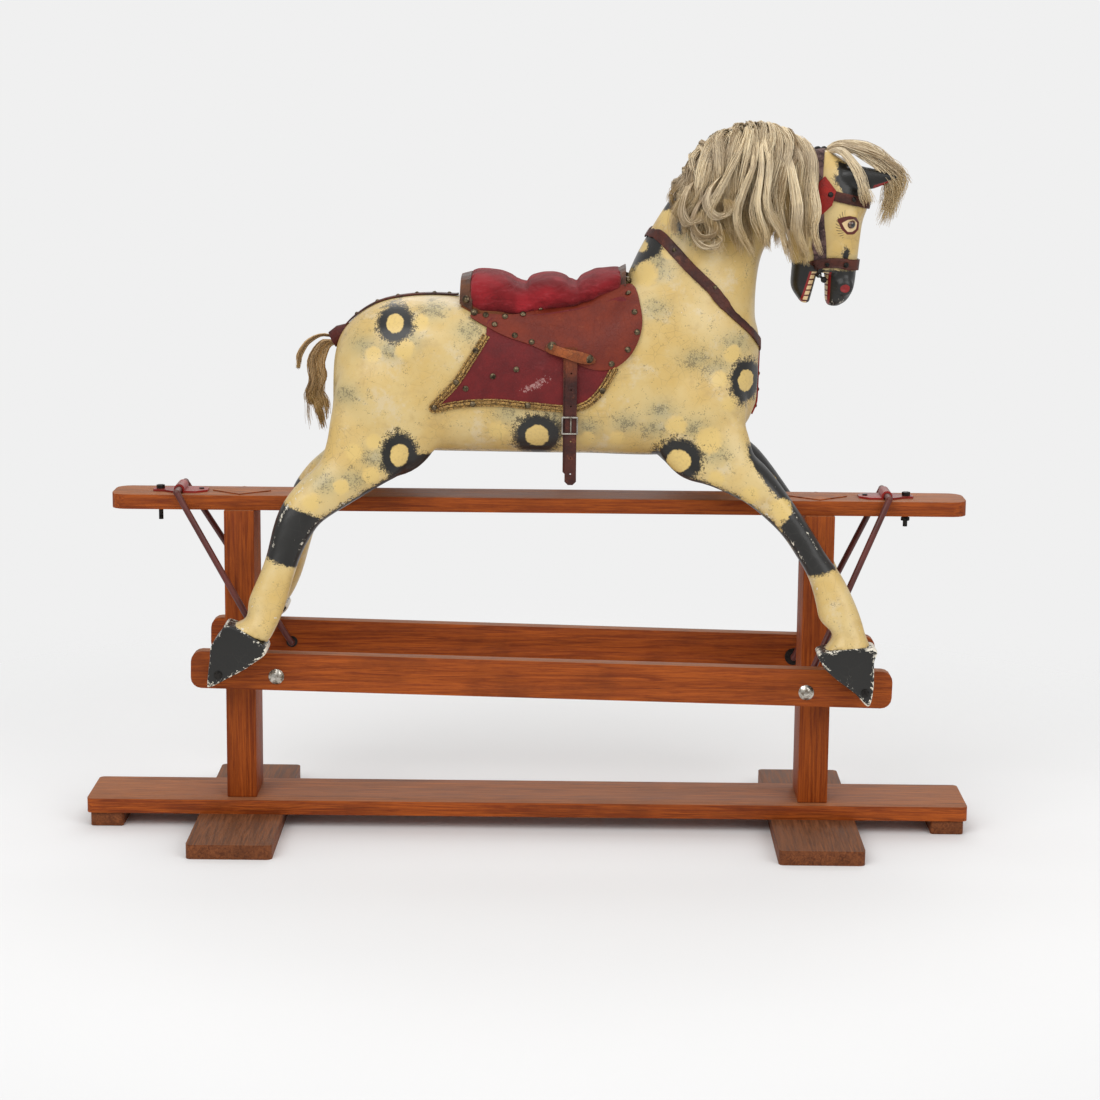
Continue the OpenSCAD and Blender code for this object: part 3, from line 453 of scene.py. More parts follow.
def inside(points, outline):
    """How deep each point lies inside an outline of the side view; below zero outside it."""
    outline = np.asarray(outline, float)
    ring = np.concatenate([outline, outline[:1]])
    crossings = np.zeros(len(points), int)
    for a, b in zip(ring[:-1], ring[1:]):
        spans = (a[1] > points[:, 1]) != (b[1] > points[:, 1])
        rise = b[1] - a[1] if b[1] != a[1] else 1e-9
        at = a[0] + (points[:, 1] - a[1]) / rise * (b[0] - a[0])
        crossings += spans & (points[:, 0] < at)
    depth = distance_to_line(points, ring)
    return np.where(crossings % 2 == 1, depth, -depth)


# ------------------------------------------------------------------ where the paint goes

# Ringed dapples: place, half length, half height, all in the side view.
DAPPLES = [
    (-229, 526, 13, 13), (-218, 335, 13, 17), (-17, 368, 17, 17), (192, 338, 17, 17), (288, 455, 12, 16),
]
# Bare cream spots: place and radius.
SPOTS = [
    (164, 687, 12), (127, 645, 12), (-191, 528, 12), (-213, 491, 15), (-244, 552, 10), (-259, 481, 12),
    (-76, 374, 15), (100, 367, 12), (56, 365, 12), (134, 606, 18), (170, 640, 12), (265, 495, 13),
    (247, 458, 13), (262, 424, 12), (235, 371, 20), (186, 390, 15), (247, 314, 13), (297, 292, 15),
    (345, 274, 18), (-258, 305, 13), (-301, 288, 12), (-345, 265, 14), (-285, 338, 13), (-256, 355, 12),
]
# Places where the grey stipple gathers.
SMUDGES = [
    (-210, 502), (-236, 488), (-175, 547), (-273, 493), (112, 392), (56, 385), (152, 626), (156, 612),
    (200, 666), (272, 512), (213, 488), (239, 476), (164, 409), (154, 383), (212, 387), (244, 350),
    (-253, 331), (-284, 299), (-325, 292), (-300, 420), (-120, 520), (150, 560), (10, 395), (-60, 400),
]
CREST_PATCHES = [
    [(176, 731), (196, 719), (194, 703), (192, 686), (185, 666), (174, 673), (172, 700), (154, 697)],
    [(137, 665), (160, 655), (156, 643), (150, 633), (129, 623), (118, 609), (106, 617)],
]
HIND_SOCK = [(-396, 262), (-330, 240), (-338, 218), (-350, 190), (-360, 166), (-414, 184), (-406, 225)]
FORE_SOCK = [
    (290, 366), (308, 352), (330, 326), (352, 314), (372, 290), (396, 262), (418, 230), (440, 192),
    (383, 178), (370, 200), (357, 224), (343, 248), (356, 262), (345, 284), (322, 308), (300, 338),
]
THIGH_EDGE = [(-200, 322), (-210, 309), (-243, 288), (-291, 258), (-326, 235), (-341, 218)]
FORE_EDGE = [(160, 342), (175, 324), (195, 310), (240, 299), (292, 277), (327, 251), (350, 230)]
TEMPLE = [
    (411, 777), (427, 774), (440, 766), (449, 743), (452, 728), (440, 724), (420, 730), (412, 746),
    (406, 751), (412, 758),
]
ALMOND = [(412, 694), (421, 697), (431, 699), (441, 697), (447, 689), (447, 678), (440, 671), (429, 671),
          (420, 679)]
EYE_WHITE = [(420, 688), (429, 693), (438, 694), (444, 688), (443, 679), (437, 675), (430, 675), (425, 680)]
EYE_PLACE = (435, 686)
EYE_RADIUS, EYE_SINK = 7.0, 1.6
CHEEK_LINE = [(392, 655), (412, 664), (440, 662)]
NOSTRIL = (428, 590)
PAINTED_NOSTRIL = (431, 591)
SMUDGE_UNDER_EYE = (430, 641)


def mark_paint(obj, **values):
    """Stores every number that the paint reads; what isn't given lies clear of its feature."""
    clear = {"ring": 9.0, "spot": 9.0, "grey": 0.0, "black": 12.0, "red": -1.0}
    for name, value in {**clear, **values}.items():
        mark(obj, name, np.broadcast_to(value, len(obj.data.vertices)))


def painted_side(points):
    """Side view of each point, the far side's pattern shifted a little so that the two differ."""
    flat = points[:, [0, 2]].copy()
    flat[points[:, 1] > 0] += (9, -6)
    return flat


def paint_body(obj):
    """Stores the distances that the paint material turns into dapples, socks and stipple.

    A leg's arris lies where its normal turns from the side to the front or back:
    worn = exp(-((|ny| - 0.72) / 0.12)^2)."""
    points = to_horse(places_of(obj.data))
    flat = painted_side(points)
    x, z = points[:, 0], points[:, 2]
    ring = np.full(len(points), 9.0)
    for px, pz, rx, rz in DAPPLES:
        ring = np.minimum(ring, np.hypot((flat[:, 0] - px) / rx, (flat[:, 1] - pz) / rz))
    spot = np.full(len(points), 9.0)
    for px, pz, r in SPOTS:
        spot = np.minimum(spot, np.hypot(flat[:, 0] - px, flat[:, 1] - pz) / r)
    grey = np.zeros(len(points))
    for px, pz in SMUDGES:
        reach = np.hypot((flat[:, 0] - px) / 24, (flat[:, 1] - pz) / 16)
        grey = np.maximum(grey, np.exp(-reach ** 2))
    low = np.interp(x, BARREL[:, 0], BARREL[:, 1])
    on_barrel = (np.abs(x + 30) < 190) & (np.abs(points[:, 1]) < 118)
    black = np.where(on_barrel, low + 4 - z, -99.0)
    for patch_line in CREST_PATCHES:
        black = np.maximum(black, inside(flat, patch_line))
    black = np.maximum(black, inside(flat, HIND_SOCK))
    black = np.maximum(black, inside(flat, FORE_SOCK))
    black = np.maximum(black, 6 - distance_to_line(flat, THIGH_EDGE))
    black = np.maximum(black, 6 - distance_to_line(flat, FORE_EDGE))
    arris = np.exp(-((np.abs(normals_of(obj.data)[:, 1]) - 0.72) / 0.12) ** 2)
    on_leg = np.clip((330 - z) / 60, 0, 1)
    mark_paint(obj, ring=ring, spot=spot, grey=grey, black=black,
               worn=arris * on_leg * np.where(z > 195, 1.0, 0.55))


def paint_head(obj):
    """The same numbers for the head: temple patch, muzzle, jaws, mouth and nostrils."""
    points = to_horse(places_of(obj.data))
    flat = points[:, [0, 2]]
    x, y, z = points[:, 0], np.abs(points[:, 1]), points[:, 2]
    black = inside(flat, TEMPLE)
    on_ear = (x > 440) & (z > 728) & (y > 27)
    black = np.maximum(black, np.where(on_ear, 6.0, -99.0))
    black = np.maximum(black, np.where(x > 396, 617 - z, np.where(z > 590, 625 - z, 30)))
    smudge = 1 - np.hypot((x - SMUDGE_UNDER_EYE[0]) / 4.6, (z - SMUDGE_UNDER_EYE[1]) / 9)
    black = np.maximum(black, smudge * 9)
    nostril = 1 - np.hypot((x - PAINTED_NOSTRIL[0]) / 7.5, (z - PAINTED_NOSTRIL[1]) / 6.5)
    ear_edge = 744 + (x - 462) * 0.33
    ear_low = np.where(on_ear & (x > 462), (ear_edge - z) / 5, -1.0)
    mark_paint(obj, grey=np.where(z < 640, 0.3, 0.0), black=black,
               red=np.clip(np.maximum(nostril, ear_low), -1, 1), worn=np.clip((600 - z) / 40, 0, 0.5),
               almond=inside(flat, ALMOND), white=inside(flat, EYE_WHITE), across=x, height=z)


# ------------------------------------------------------------------ shader helpers

def put(tree, socket, value):
    """Links an output to a socket, or sets the socket's own value."""
    if isinstance(value, bpy.types.NodeSocket):
        tree.links.new(value, socket)
    elif socket.type == "RGBA":
        socket.default_value = colour(value)
    else:
        socket.default_value = value


def add(tree, kind, inputs=None, **settings):
    """A shader node with its settings; an input takes a number, a colour or another node's output."""
    node = tree.nodes.new("ShaderNode" + kind)
    for key, value in settings.items():
        setattr(node, key, value)
    for key, value in (inputs or {}).items():
        put(tree, node.inputs[key], value)
    return node


def mixed(tree, share, a, b, kind="MIX"):
    """Colour a turned into colour b by a share."""
    node = add(tree, "Mix", data_type="RGBA", blend_type=kind)
    for socket, value in ((node.inputs[0], share), (node.inputs[6], a), (node.inputs[7], b)):
        put(tree, socket, value)
    return node.outputs[2]


def reckoned(tree, operation, a, b=0.0, c=0.0):
    """One sum on up to three values."""
    return add(tree, "Math", {0: a, 1: b, 2: c}, operation=operation).outputs[0]


def times(tree, a, b):
    """a * b"""
    return reckoned(tree, "MULTIPLY", a, b)


def times_plus(tree, a, b, c):
    """a * b + c"""
    return reckoned(tree, "MULTIPLY_ADD", a, b, c)


def plus(tree, a, b):
    """a + b"""
    return reckoned(tree, "ADD", a, b)


def minus(tree, a, b):
    """a - b"""
    return reckoned(tree, "SUBTRACT", a, b)


def ramped(tree, value, low, high, to_low=0.0, to_high=1.0):
    """A value read smoothly from one range to another, held at the ends."""
    node = add(tree, "MapRange", {0: value, 1: low, 2: high, 3: to_low, 4: to_high},
               interpolation_type="SMOOTHSTEP")
    return node.outputs[0]


def colour(rgb):
    """A display colour from 0 to 1 as the linear RGBA that sockets hold."""
    rgb = np.asarray(rgb, float)[:3]
    linear = np.where(rgb <= 0.04045, rgb / 12.92, ((rgb + 0.055) / 1.055) ** 2.4)
    return (*linear.tolist(), 1.0)


def own_place(tree):
    """The point being shaded, in its own mesh."""
    return add(tree, "TexCoord").outputs["Object"]


def stored(tree, name):
    """A number stored on the mesh."""
    return add(tree, "Attribute", attribute_name=name).outputs["Fac"]


def noise(tree, place, scale, detail=3.0, rough=0.55, distortion=0.0):
    """Smooth noise from 0 to 1."""
    return add(tree, "TexNoise", {"Vector": place, "Scale": scale, "Detail": detail,
                                  "Roughness": rough, "Distortion": distortion}).outputs["Fac"]


def stretched(tree, place, scale):
    """A place scaled along each axis."""
    return add(tree, "Mapping", {"Vector": place, "Scale": scale}).outputs[0]


def bumped(tree, height, distance, strength=1.0):
    """A normal tilted by the slope of a height."""
    return add(tree, "Bump", {"Height": height, "Distance": distance, "Strength": strength}).outputs[0]


def new_material(name):
    """An empty material with its shader and output; returns material, tree and shader."""
    material = bpy.data.materials.new(name)
    material.use_nodes = True
    tree = material.node_tree
    tree.nodes.clear()
    shader = add(tree, "BsdfPrincipled")
    output = add(tree, "OutputMaterial")
    tree.links.new(shader.outputs[0], output.inputs[0])
    return material, tree, shader


def feed(tree, shader, **values):
    """Links or sets inputs of the shader, by name with underscores for spaces."""
    for key, value in values.items():
        put(tree, shader.inputs[key.replace("_", " ")], value)


def new_group(name, inputs, outputs):
    """A shader group with named number or vector sockets; returns the tree and what comes in."""
    group = bpy.data.node_groups.new(name, "ShaderNodeTree")
    kinds = {"value": "NodeSocketFloat", "vector": "NodeSocketVector"}
    for label, kind, default in inputs:
        socket = group.interface.new_socket(label, in_out="INPUT", socket_type=kinds[kind])
        if default is not None:
            socket.default_value = default
    for label, kind in outputs:
        group.interface.new_socket(label, in_out="OUTPUT", socket_type=kinds[kind])
    return group, list(group.nodes.new("NodeGroupInput").outputs)[:len(inputs)]


def give(group, *values):
    """Ends a group: each value goes to the output of the same rank."""
    end = group.nodes.new("NodeGroupOutput")
    for value, socket in zip(values, end.inputs):
        group.links.new(value, socket)


def grouped(tree, name, **inputs):
    """Places a group in a material with its own values and returns its outputs."""
    node = tree.nodes.new("ShaderNodeGroup")
    node.node_tree = bpy.data.node_groups[name]
    for key, value in inputs.items():
        put(tree, node.inputs[key], value)
    return node.outputs


def dotted(tree, place, amount, scale=420.0):
    """Fine dots that grow together as the amount rises."""
    return grouped(tree, "stipple", Place=place, Scale=scale, Amount=amount)["Mask"]


def band(tree, value, low, high):
    """One inside a range and nought outside it, with narrow soft edges."""
    return times(tree, ramped(tree, value, low - 0.4, low + 0.4),
                 ramped(tree, value, high - 0.4, high + 0.4, 1.0, 0.0))


def facing_up(tree):
    """The height part of the surface's normal, 1 on a level top."""
    return add(tree, "SeparateXYZ", {0: add(tree, "NewGeometry").outputs["Normal"]}).outputs[2]


def build_groups():
    """Effects that several materials share."""
    group, (place, scale) = new_group(
        "timber_grain", [("Place", "vector", None), ("Scale", "value", 1.0)],
        [("Tone", "value"), ("Line", "value"), ("Height", "value")])
    scaled = add(group, "VectorMath", {0: place, "Scale": scale}, operation="SCALE").outputs[0]
    warp = noise(group, scaled, 3.0, 2.0)
    broad = noise(group, scaled, 7.0, 4.0, 0.5, 1.6)
    rings = add(group, "TexWave",
                {"Vector": scaled, "Scale": 9.0, "Distortion": 9.0, "Detail": 3.0, "Detail Scale": 1.2},
                wave_type="RINGS", rings_direction="SPHERICAL").outputs["Fac"]
    fine = noise(group, scaled, 90.0, 3.0, 0.7)
    line = times(group, ramped(group, rings, 0.35, 0.95), ramped(group, warp, 0.3, 0.7, 0.4, 1.0))
    height = times_plus(group, line, 0.5, times(group, fine, 0.6))
    give(group, times_plus(group, fine, 0.35, times(group, broad, 0.75)), line, height)

    group, (place, scale) = new_group(
        "hide_grain", [("Place", "vector", None), ("Scale", "value", 500.0)],
        [("Pores", "value"), ("Cracks", "value"), ("Blotch", "value")])
    cells = add(group, "TexVoronoi", {"Vector": place, "Scale": scale}, feature="F1").outputs["Distance"]
    edges = add(group, "TexVoronoi", {"Vector": place, "Scale": times(group, scale, 0.25),
                                      "Randomness": 1.0}, feature="DISTANCE_TO_EDGE").outputs["Distance"]
    give(group, cells, ramped(group, edges, 0.0, 0.05, 1.0, 0.0), noise(group, place, 34.0, 5.0, 0.62))

    group, (place, scale, amount) = new_group(
        "stipple", [("Place", "vector", None), ("Scale", "value", 420.0), ("Amount", "value", 0.5)],
        [("Mask", "value")])
    grains = noise(group, place, scale, 2.0, 0.8)
    patches = noise(group, place, times(group, scale, 0.2), 4.0, 0.65)
    both = times_plus(group, patches, 0.45, times(group, grains, 0.55))
    level = times_plus(group, amount, -0.2, 0.7)
    high = plus(group, level, 0.035)
    give(group, ramped(group, both, level, high))

    group, (across, height) = new_group(
        "mouth_and_lashes", [("Across", "value", 0.0), ("Height", "value", 0.0)],
        [("Teeth", "value"), ("Gap", "value"), ("Lip", "value"), ("Lash", "value")])
    low = ramped(group, height, 613.5, 615.5, 1.0, 0.0)
    upper = band(group, across, 397.0, 406.5)
    lean = times_plus(group, height, -0.26, across)
    lower = band(group, lean, 221.0, 228.5)
    teeth = times(group, low, reckoned(group, "MAXIMUM", upper, lower))
    wave = reckoned(group, "SINE", times(group, height, 0.785))
    gap = ramped(group, wave, 0.5, 0.75)
    lip = reckoned(group, "MAXIMUM", band(group, across, 406.5, 410.0), band(group, lean, 218.0, 221.5))
    along = minus(group, across, EYE_PLACE[0])
    above = minus(group, height, EYE_PLACE[1])
    turn = reckoned(group, "ARCTAN2", above, along)
    reach = reckoned(group, "SQRT", times_plus(group, along, along, times(group, above, above)))
    curl = times_plus(group, reach, 0.9, times(group, turn, 30.0))
    fan = reckoned(group, "SINE", curl)
    behind = ramped(group, along, -13.0, -9.0, 1.0, 0.0)
    near = band(group, reach, 14.0, 24.0)
    lash = times(group, ramped(group, fan, 0.5, 0.85), times(group, behind, near))
    give(group, teeth, gap, times(group, low, lip), lash)

    group, (place, amount) = new_group(
        "dust", [("Place", "vector", None), ("Amount", "value", 0.4)], [("Mask", "value")])
    upward = ramped(group, facing_up(group), 0.2, 0.95)
    patches = ramped(group, noise(group, place, 26.0, 5.0, 0.65), 0.35, 0.7)
    give(group, times(group, times(group, upward, patches), amount))


# ------------------------------------------------------------------ finishes

def timber(name, light, dark, worn, along, worn_top):
    """Stained boards: rings and fibres drawn out along one axis, tops rubbed dull and grey."""
    material, tree, shader = new_material(name)
    place = own_place(tree)
    squeeze = [26.0, 26.0, 26.0]
    squeeze["xyz".index(along)] = 1.1
    drawn = stretched(tree, place, squeeze)
    grain = grouped(tree, "timber_grain", Place=drawn, Scale=1.0)
    tone = ramped(tree, grain["Tone"], 0.36, 0.72)
    base = mixed(tree, tone, dark, light)
    base = mixed(tree, times(tree, grain["Line"], 0.45), base, [c * 0.55 for c in dark])
    blotch = noise(tree, place, 9.0, 4.0, 0.6)
    base = mixed(tree, ramped(tree, blotch, 0.45, 0.75, 0.0, 0.45), base, [c * 0.72 for c in dark])
    top = times(tree, ramped(tree, facing_up(tree), 0.6, 0.95), worn_top)
    rubbed = mixed(tree, ramped(tree, grain["Tone"], 0.35, 0.75), [c * 0.62 for c in worn], worn)
    base = mixed(tree, top, base, rubbed)
    thin = [c * 6.0 for c in squeeze]
    scrape = ramped(tree, noise(tree, stretched(tree, place, thin), 1.0, 6.0, 0.75), 0.66, 0.72)
    base = mixed(tree, times(tree, scrape, 0.5), base, [min(1, c * 1.25 + 0.08) for c in light])
    height = times_plus(tree, noise(tree, place, 160.0, 3.0), 0.4, grain["Height"])
    feed(tree, shader, Base_Color=base, Roughness=ramped(tree, grain["Tone"], 0.2, 0.9, 0.42, 0.68),
         Normal=bumped(tree, height, 0.0006, 0.7), Specular_IOR_Level=0.2)
    return material


def painted_metal(name, paint, under, rough, chips):
    """Brushed-on enamel, chipped to darker metal and dulled in patches."""
    material, tree, shader = new_material(name)
    place = own_place(tree)
    worn = ramped(tree, noise(tree, place, 70.0, 6.0, 0.7), 1 - chips, 1.03 - chips)
    patch = noise(tree, place, 18.0, 4.0)
    shade = mixed(tree, ramped(tree, patch, 0.3, 0.7), [c * 0.72 for c in paint], paint)
    base = mixed(tree, worn, shade, under)
    dust = grouped(tree, "dust", Place=place, Amount=0.35)["Mask"]
    base = mixed(tree, dust, base, (0.52, 0.47, 0.41))
    feed(tree, shader, Base_Color=base,
         Roughness=ramped(tree, patch, 0.25, 0.75, rough, rough + 0.2),
         Normal=bumped(tree, noise(tree, place, 260.0, 4.0), 0.0003, 0.5))
    return material


def bare_metal(name, tint, dull, rough, metallic):
    """Old plated or blackened metal with tarnish in patches."""
    material, tree, shader = new_material(name)
    place = own_place(tree)
    tarnish = ramped(tree, noise(tree, place, 120.0, 5.0, 0.7), 0.42, 0.66)
    base = mixed(tree, tarnish, tint, dull)
    feed(tree, shader, Base_Color=base, Metallic=metallic,
         Roughness=ramped(tree, tarnish, 0.0, 1.0, rough, rough + 0.25),
         Normal=bumped(tree, noise(tree, place, 400.0, 3.0), 0.0002, 0.5))
    return material


def leather(name, light, dark, rubbed, shine, scale=520.0, crack=0.4, upper=None):
    """Hide with pores, cracks and rubbed lighter blotches, scuffed pale where a piece stores a scuff.

    With upper set to a colour and two heights, the hide turns to that colour between the heights."""
    material, tree, shader = new_material(name)
    place = own_place(tree)
    grain = grouped(tree, "hide_grain", Place=place, Scale=scale)
    base = mixed(tree, ramped(tree, grain["Blotch"], 0.32, 0.7), dark, light)
    if upper:
        stain = times_plus(tree, noise(tree, place, 90.0, 4.0, 0.7), 0.03,
                           add(tree, "SeparateXYZ", {0: place}).outputs[2])
        base = mixed(tree, ramped(tree, stain, upper[1] + 0.015, upper[2] + 0.015, 0.0, 0.8), base, upper[0])
    base = mixed(tree, ramped(tree, noise(tree, place, 75.0, 6.0, 0.7), 0.58, 0.7, 0.0, 0.55), base, rubbed)
    base = mixed(tree, times(tree, grain["Cracks"], crack), base, [c * 0.45 for c in dark])
    scuff = dotted(tree, place, stored(tree, "scuff"))
    base = mixed(tree, times(tree, scuff, 0.7), base, (0.72, 0.56, 0.54))
    height = times_plus(tree, grain["Cracks"], -0.8, grain["Pores"])
    feed(tree, shader, Base_Color=base,
         Roughness=ramped(tree, grain["Blotch"], 0.3, 0.75, shine, shine + 0.2),
         Normal=bumped(tree, height, 0.0004, 0.6), Specular_IOR_Level=0.3)
    return material


def horse_paint(name, settings, with_eyes, chipping=1.0):
    """Old stippled dapple paint over gesso, worn through to white on the arrises.

    Distances stored on the mesh are broken up by noise and cut into rings, spots, stipple and socks."""
    material, tree, shader = new_material(name)
    place = own_place(tree)
    rag = minus(tree, noise(tree, place, 130.0, 4.0, 0.65), 0.5)
    ragged = minus(tree, noise(tree, place, 330.0, 4.0, 0.75), 0.5)
    broad = noise(tree, place, 11.0, 4.0, 0.6)
    fine = noise(tree, place, 240.0, 4.0, 0.7)
    base = mixed(tree, ramped(tree, broad, 0.35, 0.65), settings.cream, settings.straw)
    base = mixed(tree, ramped(tree, noise(tree, place, 26.0, 5.0, 0.7), 0.5, 0.72, 0.0, 0.5), base,
                 settings.stain)
    bloom = ramped(tree, noise(tree, place, 17.0, 6.0, 0.75), 0.52, 0.66, 0.0, 0.5)
    base = mixed(tree, bloom, base, settings.bloom)
    base = mixed(tree, ramped(tree, fine, 0.6, 0.75, 0.0, 0.3), base, settings.speckle)
    spot = times_plus(tree, rag, 0.9, stored(tree, "spot"))
    base = mixed(tree, ramped(tree, spot, 0.6, 1.2, 0.8, 0.0), base, settings.spot)
    clear = ramped(tree, spot, 0.85, 1.2, 0.0, 1.0)
    mist = times(tree, stored(tree, "grey"), clear)
    base = mixed(tree, times(tree, mist, 0.6), base, settings.haze)
    drift = ramped(tree, noise(tree, place, 14.0, 5.0, 0.7), 0.4, 0.66, 0.0, 0.22)
    grey = plus(tree, drift, times_plus(tree, mist, 0.5, 0.1 if with_eyes else 0.44))
    dots = dotted(tree, place, grey, 460.0)
    base = mixed(tree, times(tree, dots, 0.55), base, settings.grey)
    dark = times_plus(tree, rag, 9.0, stored(tree, "black"))
    edge = dotted(tree, place, ramped(tree, dark, -13.0, 0.0, 0.0, 1.05))
    base = mixed(tree, times(tree, edge, 0.8), base, settings.black)
    deep = times_plus(tree, ragged, 7.0, dark)
    base = mixed(tree, ramped(tree, deep, -1.2, 1.2), base, settings.black)
    bare = times_plus(tree, ragged, 0.9, spot)
    base = mixed(tree, times(tree, ramped(tree, bare, 0.72, 0.92, 0.95, 0.0), ramped(tree, dark, -9.0, 0.0)),
                 base, settings.spot)
    ring = times_plus(tree, rag, 0.5, stored(tree, "ring"))
    outer = times_plus(tree, ragged, 1.1, times_plus(tree, rag, 0.9, stored(tree, "ring")))
    around = ramped(tree, ring, 0.93, 1.07)
    fringe = dotted(tree, place, ramped(tree, ring, 1.8, 3.4, 1.25, 0.0))
    base = mixed(tree, times(tree, fringe, 0.85), base, settings.black)
    base = mixed(tree, ramped(tree, outer, 1.72, 2.0, 1.0, 0.0), base, settings.black)
    centre = mixed(tree, ramped(tree, fine, 0.45, 0.7, 0.0, 0.4), settings.spot, settings.stain)
    base = mixed(tree, around, centre, base)
    red = times_plus(tree, rag, 0.4, stored(tree, "red"))
    base = mixed(tree, ramped(tree, red, 0.0, 0.15), base, settings.mouth)
    if with_eyes:
        parts = grouped(tree, "mouth_and_lashes", Across=stored(tree, "across"),
                        Height=stored(tree, "height"))
        tooth = mixed(tree, parts["Gap"], settings.eye_white, settings.eyelid)
        base = mixed(tree, parts["Teeth"], base, tooth)
        base = mixed(tree, parts["Lip"], base, settings.mouth)
        base = mixed(tree, times(tree, parts["Lash"], 0.85), base, settings.lash)
        base = mixed(tree, ramped(tree, stored(tree, "almond"), -0.4, 0.4), base, settings.eyelid)
        base = mixed(tree, ramped(tree, stored(tree, "white"), -0.4, 0.4), base, settings.eye_white)
    edges = add(tree, "NewGeometry").outputs["Pointiness"]
    raised = ramped(tree, edges, 0.53, 0.6)
    worn = times_plus(tree, stored(tree, "worn"), 0.16 * chipping, times(tree, raised, 0.12))
    grain = times_plus(tree, noise(tree, place, 90.0, 5.0, 0.7), 0.5,
                       times(tree, noise(tree, place, 330.0, 4.0, 0.75), 0.5))
    chips = ramped(tree, plus(tree, grain, worn), 0.665, 0.68)
    base = mixed(tree, chips, base, settings.gesso)
    cracks = add(tree, "TexVoronoi", {"Vector": place, "Scale": 60.0},
                 feature="DISTANCE_TO_EDGE").outputs["Distance"]
    line = times(tree, ramped(tree, cracks, 0.0, 0.03, 1.0, 0.0), ramped(tree, broad, 0.45, 0.65))
    base = mixed(tree, times(tree, line, 0.25), base, settings.grey)
    height = times_plus(tree, chips, -1.2, fine)
    height = times_plus(tree, line, -0.8, height)
    feed(tree, shader, Base_Color=base, Roughness=ramped(tree, broad, 0.3, 0.7, 0.3, 0.5),
         Normal=bumped(tree, height, 0.0004, 0.6), Specular_IOR_Level=0.4, Coat_Roughness=0.25,
         Coat_Weight=0.25)
    return material


def hair_finish(name, light, dark, ashy):
    """Horsehair: each strand its own tone, darkened as painted shade at the root and in the deep layers."""
    material, tree, shader = new_material(name)
    tone = stored(tree, "tone")
    along = stored(tree, "along")
    base = mixed(tree, ramped(tree, tone, 0.1, 0.9), dark, light)
    streak = noise(tree, own_place(tree), 22.0, 3.0)
    base = mixed(tree, ramped(tree, streak, 0.42, 0.7, 0.0, 0.6), base, ashy)
    # painted shade at the root, where the strands lie under the rest of the hair
    base = mixed(tree, ramped(tree, along, 0.0, 0.12, 0.12, 0.0), base, [c * 0.6 for c in dark])
    base = mixed(tree, ramped(tree, along, 0.7, 1.0, 0.0, 0.45), base, (0.80, 0.66, 0.38))
    feed(tree, shader, Base_Color=base, Roughness=0.48, Specular_IOR_Level=0.35)
    return material


def seat_weave(name, light, dark, faded):
    """Plain woven red cotton, faded and soiled along its folds."""
    material, tree, shader = new_material(name)
    place = own_place(tree)
    threads = {"Vector": place, "Scale": 420.0, "Distortion": 1.2, "Detail": 1.0}
    weft, warp = (add(tree, "TexWave", threads, bands_direction=way).outputs["Fac"] for way in "XY")
    thread = reckoned(tree, "MAXIMUM", weft, warp)
    streaks = noise(tree, stretched(tree, place, [30, 30, 90]), 2.0, 6.0, 0.7)
    base = mixed(tree, ramped(tree, noise(tree, place, 16.0, 4.0), 0.35, 0.68), dark, light)
    base = mixed(tree, ramped(tree, streaks, 0.5, 0.7, 0.0, 0.45), base, faded)
    # painted shade in the gaps between the threads, darker where neither weft nor warp rises
    base = mixed(tree, ramped(tree, thread, 0.2, 0.9, 0.28, 0.0), base, [c * 0.5 for c in dark])
    height = times_plus(tree, streaks, 0.35, thread)
    feed(tree, shader, Base_Color=base, Roughness=0.82, Sheen_Weight=0.06, Sheen_Roughness=0.5,
         Normal=bumped(tree, height, 0.0004, 0.6), Specular_IOR_Level=0.25)
    return material


def braid_finish(name):
    """Gold gimp gone brown, bright on the thread tops and dark in the hollows: painted highlight and painted
    shade.
    """
    material, tree, shader = new_material(name)
    place = own_place(tree)
    speck = noise(tree, place, 380.0, 3.0, 0.75)
    # painted highlight on the thread tops and painted shade in the hollows, read from the bump's own height
    base = mixed(tree, ramped(tree, speck, 0.38, 0.62), (0.30, 0.20, 0.09), (0.80, 0.64, 0.36))
    base = mixed(tree, ramped(tree, noise(tree, place, 60.0, 3.0), 0.5, 0.7, 0.0, 0.5), base,
                 (0.45, 0.30, 0.14))
    feed(tree, shader, Base_Color=base, Roughness=0.5, Metallic=0.15, Normal=bumped(tree, speck, 0.0005, 0.8))
    return material


def glass_eye(name):
    """Dark glass with a streaked brown rim."""
    material, tree, shader = new_material(name)
    rim = ramped(tree, stored(tree, "rim"), 0.45, 0.6)
    streak = noise(tree, own_place(tree), 500.0, 3.0)
    iris = mixed(tree, streak, (0.24, 0.15, 0.11), (0.42, 0.30, 0.24))
    base = mixed(tree, rim, (0.03, 0.02, 0.02), iris)
    feed(tree, shader, Base_Color=base, Roughness=0.06, Coat_Weight=1.0, Coat_Roughness=0.03)
    return material


FINISH = {}


